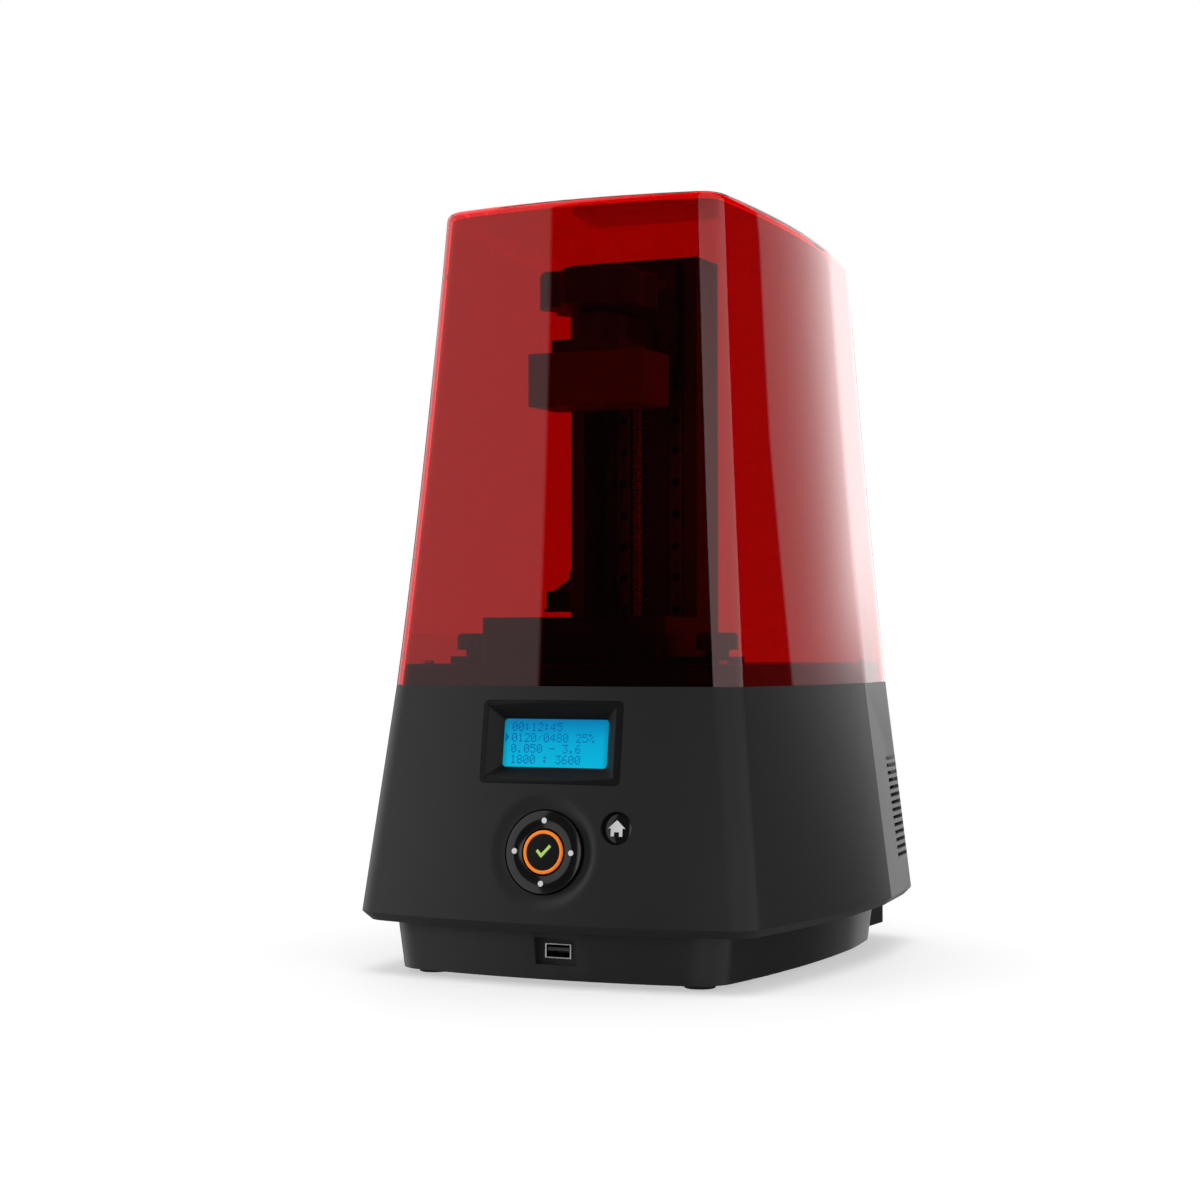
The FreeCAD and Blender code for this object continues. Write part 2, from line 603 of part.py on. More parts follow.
# Deck: the raised tray top that locates the hood and carries the tank and the column
deckTop = s.seam_z + s.deck_height
plateUnder = deckTop - s.deck_plate
tankY = -s.tank_front + s.tank_depth / 2
deckScrews = [(x * s.deck_screw_x, y) for x in (-1, 1) for y in (-s.deck_screw_front, s.deck_screw_back)]
tankKnobs = [("left", -s.tank_knob_x), ("right", s.tank_knob_x)]


def makeDeck():
    inset = s.hood_wall + s.hood_clearance
    outside = newBody("deck_outside")
    loft(outside, "deck_outside_loft", [
        housingOutline(outside, "deck_low", s.seam_z, halfSeam, s.seam_front, inset),
        housingOutline(outside, "deck_high", deckTop, halfSeam, s.seam_front, inset + s.deck_draft)])
    inside = newBody("deck_inside")
    hollow = inset + s.deck_draft + s.deck_wall
    loft(inside, "deck_inside_loft", [
        housingOutline(inside, "deck_mouth", s.seam_z - s.deck_plate, halfSeam, s.seam_front, hollow),
        housingOutline(inside, "deck_ceiling", plateUnder, halfSeam, s.seam_front, hollow)])
    openings = [
        box("window_rebate_cut", 0, tankY, deckTop - s.window_glass, s.window_width, s.window_depth,
            s.deck_plate),
        box("window_hole", 0, tankY, plateUnder - s.deck_plate, s.window_width - s.window_rebate * 2,
            s.window_depth - s.window_rebate * 2, s.deck_plate * 3),
        rod("motor_boss_hole", 0, -s.screw_y, plateUnder - s.deck_plate, s.motor_boss_radius + s.panel_fit,
            s.deck_plate * 3)]
    for name, x in tankKnobs:
        openings.append(rod("tank_stud_hole_" + name, x, -s.tank_knob_y, plateUnder - s.deck_plate,
                            s.tank_stud_radius + s.tank_hole_gap, s.deck_plate * 3))
    node(cut("deck", cut("deck_tray", outside, inside), *openings), "top_deck")


makeDeck()
node(box("window", 0, tankY, deckTop - s.window_glass, s.window_width - s.panel_fit * 2,
         s.window_depth - s.panel_fit * 2, s.window_glass), "deck_window")
heads = [rod("deck_screw_%d" % i, x, y, deckTop, s.deck_screw_radius, s.deck_screw_head)
         for i, (x, y) in enumerate(deckScrews)]
node(group("deck_screw_heads", *heads), "deck_screws")

# Hood: a drafted clear cover with a slightly drawn-in waist and a roof that falls to the back
hoodTopZ = s.seam_z + s.hood_height - s.roof_slope * s.hood_top_front


def hoodSections(body, name, top, trim):
    # Foot, waist and shoulder.
    middle = (s.seam_z + hoodTopZ) / 2
    topHalf = s.hood_top_width / 2
    corner, rear = s.front_corner_radius, s.rear_corner_radius
    return [
        outline(body, name + "_foot", s.seam_z, halfSeam, s.seam_front, halfDepth, corner, rear, trim),
        outline(body, name + "_waist", middle, (halfSeam + topHalf) / 2 - s.hood_waist,
                (s.seam_front + s.hood_top_front) / 2 - s.hood_waist, (halfDepth + s.hood_top_back) / 2,
                corner, rear, trim),
        roofOutline(body, name + "_shoulder", top, trim)]


def roofOutline(body, name, z, trim):
    return outline(body, name, z, s.hood_top_width / 2, s.hood_top_front, s.hood_top_back,
                   s.front_corner_radius, s.rear_corner_radius, trim, s.roof_slope)


def makeHood():
    hood = newBody("hood_body")
    shoulder = hoodTopZ - s.roof_edge_radius
    loft(hood, "hood_outside", hoodSections(hood, "hood_out", shoulder, sized(0)), ruled=False)
    roundSteps = 3
    roundSections = []
    for step in range(roundSteps + 1):
        turn = math.pi / 2 * step / roundSteps
        roundSections.append(roofOutline(hood, "hood_round_%d" % step,
                                         shoulder + s.roof_edge_radius * math.sin(turn),
                                         s.roof_edge_radius * (1 - math.cos(turn))))
    loft(hood, "hood_shoulder", roundSections)
    inside = hoodSections(hood, "hood_in", hoodTopZ - s.hood_wall, s.hood_wall)
    loft(hood, "hood_inside", inside, "Subtractive", ruled=False)
    node(hood, "hood")


makeHood()


# Display: a funnel-shaped bezel flush with the bowed face, the lit cell and the module behind it
def makeDisplay():
    block = rounded("bezel_round", box("bezel_block", s.display_x, s.display_rise, -s.bezel_depth,
                                       s.bezel_width, s.bezel_height, s.bezel_depth + s.dish_depth, "panel"),
                    s.bezel_corner, towardsPanel)
    funnel = doc.addObject("Part::Wedge", "bezel_funnel")
    flare = (s.bezel_width - s.bezel_rim * 2 - s.screen_width) / s.bezel_set / 2
    rise = (s.bezel_height - s.bezel_rim * 2 - s.screen_height) / s.bezel_set / 2
    tall = s.bezel_set + s.dish_depth
    for letter, half, slope in (("X", s.screen_width / 2, flare), ("Z", s.screen_height / 2, rise)):
        bind(funnel, letter + "min", -half)
        bind(funnel, letter + "max", half)
        bind(funnel, letter + "2min", -half - slope * tall)
        bind(funnel, letter + "2max", half + slope * tall)
    bind(funnel, "Ymin", sized(0))
    bind(funnel, "Ymax", tall)
    place(funnel, s.display_x, s.display_rise, -s.bezel_set, "panel")
    funnel.setExpression("Placement.Rotation.Angle", "180 deg - atan(%s)" % panelSlope.text)
    funnel = rounded("funnel_round", funnel, s.screen_corner, towardsPanel)
    opening = box("screen_opening", s.display_x, s.display_rise, -s.bezel_depth * 2, s.screen_width,
                  s.screen_height, s.bezel_depth * 2, "panel")
    opening = rounded("screen_opening_round", opening, s.screen_corner, towardsPanel)
    above = box("above_funnel", s.display_x, s.display_rise, -s.bezel_set, s.bezel_width, s.bezel_height,
                s.bezel_depth * 2, "panel")
    opening = cut("screen_opening_trimmed", opening, above)
    node(cut("bezel", overlap("bezel_blank", block, outerForm), funnel, opening), "display_bezel")
    node(box("screen", s.display_x, s.display_rise, -screenDepth, s.screen_width + s.screen_margin * 2,
             s.screen_height + s.screen_margin * 2, s.screen_glass, "panel"), "display_screen")
    node(box("module", s.display_x, s.display_rise, -displayBoardDepth, s.module_width, s.module_height,
             s.module_thickness, "panel"), "display_module")
    node(box("display_pcb", s.display_x, s.display_rise, -displayBoardDepth - s.board_thickness,
             s.display_board_width, s.display_board_height, s.board_thickness, "panel"), "display_board")


makeDisplay()


# Keypad: a rocking pad on a carrier that rocks the other way, two push buttons in guides, and their board
def button(name, x, y, depth, radius, thickness):
    end = keypadDepth - s.button_travel - s.pivot_gap
    body = turned(name, [(0, -end), (s.stem_radius, -end), (s.stem_radius, -depth - thickness),
                         (radius, -depth - thickness), (radius, -depth - s.pivot_gap),
                         (radius - s.pivot_gap, -depth), (0, -depth)])
    return place(body, x, y, 0, "panel")


def turnedAcross(cylinder):
    # Lays a panel cylinder along X.
    cylinder.setExpression("Placement.Rotation.Angle", None)
    cylinder.Placement.Rotation = FreeCAD.Rotation(FreeCAD.Vector(0, 1, 0), 90)
    return cylinder


def turnedUp(cylinder):
    # Lays a panel cylinder along the panel's rise.
    cylinder.Placement.Rotation = FreeCAD.Rotation(FreeCAD.Vector(-1, 0, 0), 8)
    cylinder.setExpression("Placement.Rotation.Angle", "atan(%s)" % panelSlope.text)
    return cylinder


def makeKeypad():
    top = -s.pad_set
    flat = s.pad_crown_flat / 2
    ring = turned("pad", [(s.pad_bore_radius, -padBack), (s.pad_radius, -padBack),
                          (s.pad_radius, top - s.pad_dome), (s.pad_crown + flat, top),
                          (s.pad_crown - flat, top), (s.pad_bore_radius, top - s.pad_dome)])
    node(place(ring, s.dial_x, s.dial_rise, 0, "panel"), "dpad_ring")
    disc = rod("carrier_disc", s.dial_x, s.dial_rise, -carrierFront - s.carrier_thickness, s.carrier_radius,
               s.carrier_thickness, "panel")
    bore = rod("carrier_bore", s.dial_x, s.dial_rise, -keypadDepth, s.carrier_bore_radius, keypadDepth,
               "panel")
    seat = (s.carrier_radius + s.carrier_bore_radius) / 2
    width, length, post = s.pivot_radius * 2, s.pivot_length, s.pivot_height - s.pivot_radius
    padAxis = -carrierFront + post
    carrierAxis = -carrierFront - s.carrier_thickness - post
    nubs = []
    for side in (-1, 1):
        x, y = s.dial_x + side * seat, s.dial_rise + side * seat
        nubs.append(box("pad_pivot_%d" % side, x, s.dial_rise, -carrierFront, length, width, post, "panel"))
        nubs.append(box("carrier_pivot_%d" % side, s.dial_x, y, carrierAxis, width, length, post, "panel"))
        nubs.append(turnedAcross(rod("pad_nub_%d" % side, x - length / 2, s.dial_rise, padAxis,
                                     s.pivot_radius, length, "panel")))
        nubs.append(turnedUp(rod("carrier_nub_%d" % side, s.dial_x, y - length / 2, carrierAxis,
                                 s.pivot_radius, length, "panel")))
    node(fuse("carrier", cut("carrier_ring", disc, bore), *nubs), "dpad_carrier")
    cap = button("ok_cap", s.dial_x, s.dial_rise, s.ok_set, s.ok_radius, s.ok_thickness)
    trench = cut("ok_ring_trench", rod("ok_trench_out", s.dial_x, s.dial_rise, -s.ok_set - s.ring_depth,
                                       s.ok_radius * 2, s.ring_depth * 3, "panel"),
                 rod("ok_trench_in", s.dial_x, s.dial_rise, -s.ok_set - s.ring_depth * 2,
                     s.ok_radius - s.ring_width, s.ring_depth * 6, "panel"))
    node(cut("ok", cap, trench), "ok_button")
    glow = turned("ok_ring", [(s.ok_radius - s.ring_width, -s.ok_set - s.ring_depth),
                              (s.ok_radius, -s.ok_set - s.ring_depth), (s.ok_radius, -s.ok_set - s.pivot_gap),
                              (s.ok_radius - s.pivot_gap, -s.ok_set),
                              (s.ok_radius - s.ring_width, -s.ok_set)])
    node(place(glow, s.dial_x, s.dial_rise, 0, "panel"), "ok_light_ring")
    node(button("home", s.home_x, s.home_rise, s.home_set, s.home_radius, s.ok_thickness), "home_button")
    board = [box("keypad_pcb", keypadX, keypadY, -keypadDepth - s.board_thickness, keypadWidth, keypadHeight,
                 s.board_thickness, "panel")]
    holes = []
    for name, x, y in (("ok", s.dial_x, s.dial_rise), ("home", s.home_x, s.home_rise)):
        board.append(rod(name + "_guide", x, y, -keypadDepth, s.stem_radius + s.guide_fit + s.guide_wall,
                         s.guide_height, "panel"))
        holes.append(rod(name + "_guide_bore", x, y, -keypadDepth, s.stem_radius + s.guide_fit,
                         s.guide_height * 2, "panel"))
    node(cut("keypad", fuse("keypad_blank", *board), *holes), "keypad_board")


makeKeypad()

# Front USB socket on its own small board
usbFront = -plinthFront - s.plinth_flare / 2 + s.usb_recess_depth - s.usb_shell


def makeUsb():
    middle = usbFront + s.usb_length / 2
    low = s.usb_z - s.usb_height / 2
    can = box("usb_can", s.usb_x, middle, low, s.usb_width, s.usb_length, s.usb_height)
    mouth = box("usb_mouth", s.usb_x, middle - s.usb_shell, low + s.usb_shell, s.usb_width - s.usb_shell * 2,
                s.usb_length, s.usb_height - s.usb_shell * 2)
    node(cut("usb", can, mouth), "usb_port")
    node(box("tongue", s.usb_x, middle, s.usb_z, s.usb_width - s.usb_shell * 4,
             s.usb_length - s.usb_shell * 2, s.usb_tongue), "usb_tongue")
    node(box("usb_pcb", s.usb_x, usbFront + s.usb_recess_depth + s.usb_board_length / 2 + s.usb_block_wall,
             low - s.board_thickness, s.usb_board_width, s.usb_board_length, s.board_thickness), "usb_board")


makeUsb()

# Lift column: an extruded channel with two rails, a cap, a lead screw and its motor under the deck
columnTop = s.seam_z + s.hood_height - s.column_under_roof
columnHeight = columnTop - deckTop
carriageZ = columnTop - s.carriage_under_cap - s.carriage_height
platformZ = carriageZ - s.platform_drop
columnBack = s.column_depth - s.column_front
railFoot = columnBack - s.column_back
motorTop = plateUnder


def makeColumn():
    half = s.column_width / 2
    inner = half - s.column_wall
    channel = extruded("column", [(-half, -s.column_front), (-inner, -s.column_front), (-inner, railFoot),
                                  (inner, railFoot), (inner, -s.column_front), (half, -s.column_front),
                                  (half, columnBack), (-half, columnBack)], columnHeight)
    node(place(channel, 0, 0, deckTop), "z_column")
    plate = box("cap_plate", 0, columnBack - s.column_depth / 2, columnTop, s.column_width,
                s.column_depth, s.cap_thickness)
    bearing = rod("cap_bearing", 0, -s.screw_y, columnTop - s.cap_thickness,
                  s.screw_radius + s.bearing_fit, s.cap_thickness * 3)
    node(cut("cap", plate, bearing), "column_cap")


def makeRails():
    length = columnHeight - s.rail_end_gap * 2
    low = deckTop + s.rail_end_gap
    screwCount = int((length - s.rail_width).value / s.rail_screw_pitch.value) + 1
    pitchStart = low + (length - (screwCount - 1) * s.rail_screw_pitch) / 2
    face = railFoot - s.rail_height
    rails, screws = [], []
    for side in (-1, 1):
        bar = box("rail_bar_%d" % side, side * s.rail_x, railFoot - s.rail_height / 2, low, s.rail_width,
                  s.rail_height, length)
        seats = []
        for i in range(screwCount):
            z = pitchStart + i * s.rail_screw_pitch
            seats.append(rod("rail_seat_%d_%d" % (side, i), side * s.rail_x, face, z,
                             s.rail_screw_head_radius, s.rail_screw_depth, axis="y"))
            screws.append(rod("rail_screw_%d_%d" % (side, i), side * s.rail_x, face + s.rail_screw_depth / 2,
                              z, s.rail_screw_head_radius - s.rail_fit, s.rail_screw_depth / 2, axis="y"))
        rails.append(cut("rail_%d" % side, bar, *seats))
    node(group("rails", *rails), "linear_rails")
    node(group("rail_screw_heads", *screws), "rail_screws")
    blocks = []
    for side in (-1, 1):
        depth = s.block_height - s.block_lift
        z = carriageZ + (s.carriage_height - s.block_length) / 2
        body = box("block_body_%d" % side, side * s.rail_x, railFoot - s.block_lift - depth / 2, z,
                   s.block_width, depth, s.block_length)
        groove = box("block_groove_%d" % side, side * s.rail_x, railFoot - (s.rail_height + s.rail_fit) / 2,
                     z - s.block_length, s.rail_width + s.rail_fit * 2, s.rail_height + s.rail_fit,
                     s.block_length * 3)
        blocks.append(cut("rail_block_%d" % side, body, groove))
    node(group("blocks", *blocks), "rail_blocks")


def makeDrive():
    shaftTop = motorTop + s.shaft_length
    half = s.motor_width / 2
    can = rounded("motor_can", box("motor_block", 0, -s.screw_y, motorTop - s.motor_length, s.motor_width,
                                   s.motor_width, s.motor_length), s.motor_corner, upright)
    boss = rod("motor_boss", 0, -s.screw_y, motorTop, s.motor_boss_radius, s.deck_plate / 2)
    bore = rod("motor_bore", 0, -s.screw_y, motorTop - half, s.motor_shaft_radius + s.bearing_fit, half * 2)
    node(cut("motor", fuse("motor_blank", can, boss), bore), "z_motor")
    shaft = rod("shaft", 0, -s.screw_y, motorTop - half + s.pivot_gap, s.motor_shaft_radius,
                half + s.shaft_length - s.pivot_gap)
    node(shaft, "motor_shaft")
    shaftBore, screwBore = s.motor_shaft_radius + s.bearing_fit, s.screw_radius + s.bearing_fit
    step = shaftTop - deckTop - s.coupling_gap
    sleeve = turned("sleeve", [(shaftBore, 0), (s.coupling_radius, 0), (s.coupling_radius, s.coupling_length),
                               (screwBore, s.coupling_length), (screwBore, step), (shaftBore, step)])
    node(place(sleeve, 0, -s.screw_y, deckTop + s.coupling_gap), "shaft_coupling")
    node(rod("screw", 0, -s.screw_y, shaftTop, s.screw_radius, columnTop + s.cap_thickness - shaftTop),
         "lead_screw")


def makeLimitSwitch():
    side = -s.column_width / 2
    reach = s.bracket_reach
    y = -s.column_front + s.switch_depth + s.bracket_sheet
    uprightPlate = box("bracket_plate", side - s.bracket_sheet / 2, y, s.bracket_z, s.bracket_sheet,
                        s.switch_depth * 2, s.bracket_height)
    shelf = box("bracket_shelf", side - reach / 2, y, s.bracket_z, reach, s.switch_depth * 2, s.bracket_sheet)
    web = extruded("bracket_web", [(0, 0), (0, s.bracket_height), (-reach, s.bracket_sheet + s.switch_height),
                                   (-reach, 0)], s.bracket_sheet, "XZ_Plane")
    place(web, side, y + s.switch_depth, s.bracket_z)
    node(fuse("bracket", uprightPlate, shelf, web), "limit_bracket")
    node(box("microswitch", side - s.bracket_sheet - (reach - s.bracket_sheet) / 2, y,
             s.bracket_z + s.bracket_sheet, reach - s.bracket_sheet, s.switch_depth, s.switch_height),
         "limit_switch")


makeColumn()
makeRails()
makeDrive()
makeLimitSwitch()

# Carriage, arm, platform and the lobed knob that clamps it
clampZ = platformZ + s.platform_height
armZ = clampZ + s.clamp_thickness
armTop = armZ + s.arm_height


def makeCarriage():
    back = railFoot - s.block_height
    depth = back + s.carriage_front
    block = box("carriage_block", 0, back - depth / 2, carriageZ, s.carriage_width, depth,
                s.carriage_height)
    bore = rod("carriage_bore", 0, -s.screw_y, carriageZ - s.nut_length, s.nut_radius + s.panel_fit,
               s.carriage_height + s.nut_length * 2)
    node(cut("carriage_cut", block, bore), "carriage")
    thread = s.screw_radius + s.bearing_fit
    nut = turned("nut", [(thread, -s.nut_flange), (s.nut_flange_radius, -s.nut_flange),
                         (s.nut_flange_radius, 0), (s.nut_radius, 0), (s.nut_radius, s.nut_length),
                         (thread, s.nut_length)])
    node(place(nut, 0, -s.screw_y, carriageZ), "screw_nut")
    heads = []
    for i, (x, z) in enumerate((x, z) for x in (-1, 1) for z in (-1, 1)):
        rise = s.carriage_height / 2 + z * (s.carriage_height / 2 - s.carriage_screw_inset)
        heads.append(rod("carriage_screw_%d" % i, x * s.carriage_screw_x,
                         -s.carriage_front - s.carriage_screw_head, carriageZ + rise,
                         s.carriage_screw_radius, s.carriage_screw_head, axis="y"))
    node(group("carriage_screw_heads", *heads), "carriage_screws")


def makePlatform():
    node(box("platform", 0, -s.platform_y, platformZ, s.platform_width, s.platform_depth,
             s.platform_height), "build_platform")
    plate = box("clamp_plate", 0, -s.platform_y, clampZ, s.clamp_width, s.clamp_depth, s.clamp_thickness)
    pin = rod("clamp_pin", s.pin_x, -s.platform_y - s.pin_front, armZ, s.pin_radius, s.pin_height)
    node(fuse("clamp", plate, pin), "platform_clamp")
    reach = s.platform_y - s.carriage_front
    bar = box("arm_bar", 0, -s.carriage_front - reach / 2, armZ, s.arm_width, reach, s.arm_height)
    collar = rod("arm_collar", 0, -s.platform_y, armZ, s.collar_radius, s.arm_height)
    bore = rod("arm_bore", 0, -s.platform_y, armZ - s.arm_height, s.stud_radius + s.stud_fit,
               s.arm_height * 3)
    node(cut("arm", fuse("arm_blank", bar, collar), bore), "platform_arm")
    inKnob = s.knob_boss + s.stud_grip
    tall = s.arm_height + s.knob_gap + inKnob
    node(rod("stud", 0, -s.platform_y, armZ, s.stud_radius, tall), "platform_stud")
    makeKnob(armTop + s.knob_gap, inKnob)


def circleSketch(body, name, x, radius, z=0):
    sketch = newSketch(body, name)
    middle = FreeCAD.Vector(sized(x).value, 0, 0)
    sketch.addGeometry(Part.Circle(middle, FreeCAD.Vector(0, 0, 1), sized(radius).value), False)
    rule(sketch, radius, "Radius", 0)
    tie(sketch, "PointOnObject", 0, 3, -1)
    if sized(x).value:
        rule(sketch, x, "DistanceX", -1, 1, 0, 3)
    else:
        tie(sketch, "PointOnObject", 0, 3, -2)
    bind(sketch, "AttachmentOffset.Base.z", z)
    return sketch


def pocket(body, name, sketch, length, reverse=False):
    feature = body.newObject("PartDesign::Pocket", name)
    feature.Profile = sketch
    feature.Reversed = reverse
    bind(feature, "Length", length)
    return feature


def padded(body, name, sketch, length):
    feature = body.newObject("PartDesign::Pad", name)
    feature.Profile = sketch
    bind(feature, "Length", length)
    return feature


def ringPattern(body, name, feature, count):
    pattern = body.newObject("PartDesign::PolarPattern", name)
    pattern.Originals = [feature]
    axis = [item for item in body.Origin.OriginFeatures if item.Role == "Z_Axis"][0]
    pattern.Axis = (axis, [""])
    pattern.Angle = 360
    bind(pattern, "Occurrences", count)
    body.Tip = pattern
    return pattern


def roundEdges(body, name, radius, pick):
    doc.recompute()
    edges = ["Edge%d" % i for i, edge in enumerate(body.Shape.Edges, 1) if pick(edge)]
    base = body.Tip
    fillet = body.newObject("PartDesign::Fillet", name)
    fillet.Base = (base, edges)
    bind(fillet, "Radius", radius)


def beyond(edge, radius):
    # Further from the Z axis than the radius.
    return math.hypot(edge.Vertexes[0].X, edge.Vertexes[0].Y) > radius.value + nearly


def makeKnob(z, studLength):
    knob = newBody("knob")
    padded(knob, "knob_boss_pad", circleSketch(knob, "knob_boss_circle", 0, s.knob_boss_radius), s.knob_boss)
    padded(knob, "knob_disc", circleSketch(knob, "knob_circle", 0, s.knob_radius, s.knob_boss), s.knob_height)
    circle = circleSketch(knob, "scallop_circle", s.scallop_centre, s.scallop_radius, s.knob_boss)
    scallop = pocket(knob, "knob_scallop", circle, s.knob_height, True)
    ringPattern(knob, "knob_lobes_pattern", scallop, s.knob_lobes)
    pocket(knob, "knob_bore", circleSketch(knob, "knob_bore_circle", 0, s.stud_radius + s.stud_fit),
           studLength + s.pivot_gap, True)
    top = (s.knob_boss + s.knob_height).value
    roundEdges(knob, "knob_lobe_round", s.lobe_round,
               lambda edge: upright(edge) and beyond(edge, s.knob_boss_radius))
    roundEdges(knob, "knob_top_round", s.knob_round, lambda edge: edge.BoundBox.ZMin > top - nearly)
    node(place(knob, 0, -s.platform_y, z), "platform_knob")


makeCarriage()
makePlatform()

# Resin tank: an open frame with a clear film floor, held down by two hand screws
tabTop = deckTop + s.tab_thickness


def makeTank():
    block = box("tank_box", 0, tankY, deckTop, s.tank_width, s.tank_depth, s.tank_height)
    frame = rounded("tank_block", block, s.tank_corner, upright)
    tabs = box("tank_tabs", 0, -s.tank_knob_y, deckTop, s.tab_reach * 2, s.tab_width, s.tab_thickness)
    wide, deep = s.tank_width - s.tank_wall * 2, s.tank_depth - s.tank_wall * 2
    cavity = box("tank_cavity", 0, tankY, deckTop + s.film_lift, wide, deep, s.tank_height)
    floor = box("tank_floor_opening", 0, tankY, deckTop - s.film_lift, wide - s.film_ledge * 2,
                deep - s.film_ledge * 2, s.tank_height)
    holes = [rod("tab_hole_" + name, x, -s.tank_knob_y, deckTop - s.tab_thickness,
                 s.tank_stud_radius + s.tank_hole_gap, s.tab_thickness * 3) for name, x in tankKnobs]
    node(cut("tank", fuse("tank_blank", frame, tabs), cavity, floor, *holes), "resin_tank")
    node(box("film", 0, tankY, deckTop + s.film_lift, wide - s.panel_fit * 2, deep - s.panel_fit * 2,
             s.film_thickness), "tank_film")
    for name, x in tankKnobs:
        head = s.tank_neck + s.tank_knob_head
        knob = turned("tank_knob_" + name, [
            (0, -s.tank_stud_length), (s.tank_stud_radius, -s.tank_stud_length), (s.tank_stud_radius, 0),
            (s.tank_neck_radius, 0), (s.tank_neck_radius, s.tank_neck), (s.tank_knob_radius, s.tank_neck),
            (s.tank_knob_radius, head - s.tank_knob_edge), (s.tank_knob_radius - s.tank_knob_edge, head),
            (0, head)])
        doc.recompute()
        circle = circleSketch(knob, "grip_circle_" + name, s.tank_knob_radius + s.grip_radius / 2,
                              s.grip_radius, s.tank_neck)
        grip = pocket(knob, "grip_" + name, circle, s.tank_knob_head, True)
        ringPattern(knob, "grips_" + name, grip, s.grip_count)
        node(place(knob, x, -s.tank_knob_y, tabTop), "tank_knob_" + name)


makeTank()


# Light engine under the window, on two side brackets
def makeEngine():
    block = box("engine_block", 0, tankY, s.engine_z, s.engine_width, s.engine_depth, s.engine_height)
    pitch = s.engine_width / (s.fin_count + 1)
    back = tankY + s.engine_depth / 2
    slots = [box("fin_slot_%d" % i, -s.engine_width / 2 + pitch * (i + 1), back, s.engine_z - s.fin_gap,
                 s.fin_gap, s.fin_depth * 2, s.engine_height + s.fin_gap * 2)
             for i in range(sizeTable["fin_count"])]
    node(cut("engine", block, *slots), "light_engine")
    low = s.lens_length - s.lens_step * 2
    lens = turned("lens", [(0, 0), (s.lens_radius - s.lens_step, 0), (s.lens_radius - s.lens_step, low / 2),
                           (s.lens_radius, low / 2), (s.lens_radius, s.lens_length),
                           (s.lens_bore, s.lens_length), (s.lens_bore, s.lens_length - s.lens_dish),
                           (0, s.lens_length - s.lens_dish)])
    node(place(lens, 0, tankY, s.engine_z + s.engine_height), "projection_lens")
    sides = []
    for side in (-1, 1):
        x = side * (s.engine_width + s.leg_sheet) / 2
        rise = s.engine_z + s.engine_height / 2 - floorZ
        plate = box("engine_plate_%d" % side, x, tankY, floorZ, s.leg_sheet, s.engine_depth / 2, rise)
        foot = box("engine_foot_%d" % side, x + side * s.leg_width / 2, tankY, floorZ,
                   s.leg_width + s.leg_sheet, s.engine_depth / 2, s.leg_sheet)
        sides.append(fuse("engine_side_%d" % side, plate, foot))
    node(group("engine_sides", *sides), "engine_brackets")


makeEngine()


# Electronics in the pan
def makeElectronics():
    boardZ = floorZ + s.standoff_height
    width = plinthHalf - s.board_side - s.board_gap
    x, y = -s.board_gap - width / 2, plinthBack - s.board_back - s.board_length / 2
    pcb = box("main_pcb", x, y, boardZ, width, s.board_length, s.board_thickness)
    chips = [box("chip_%d" % i, x + i * s.chip_size, y + i * s.chip_size, boardZ + s.board_thickness,
                 s.chip_size, s.chip_size, s.chip_height) for i in (-1, 1)]
    node(fuse("main_board_whole", pcb, *chips), "mainboard")
    across, along = width / 2 - s.board_inset, s.board_length / 2 - s.board_inset
    corners = [(x + i * across, y + j * along) for i in (-1, 1) for j in (-1, 1)]
    node(group("standoffs", *[rod("standoff_%d" % i, left, back, floorZ, s.standoff_radius, s.standoff_height)
                              for i, (left, back) in enumerate(corners)]), "board_standoffs")
    width = plinthHalf - s.supply_side - s.supply_gap
    y = plinthBack - s.supply_back - s.supply_length / 2
    node(box("supply", s.supply_gap + width / 2, y, floorZ, width, s.supply_length, s.supply_height),
         "power_supply")


makeElectronics()


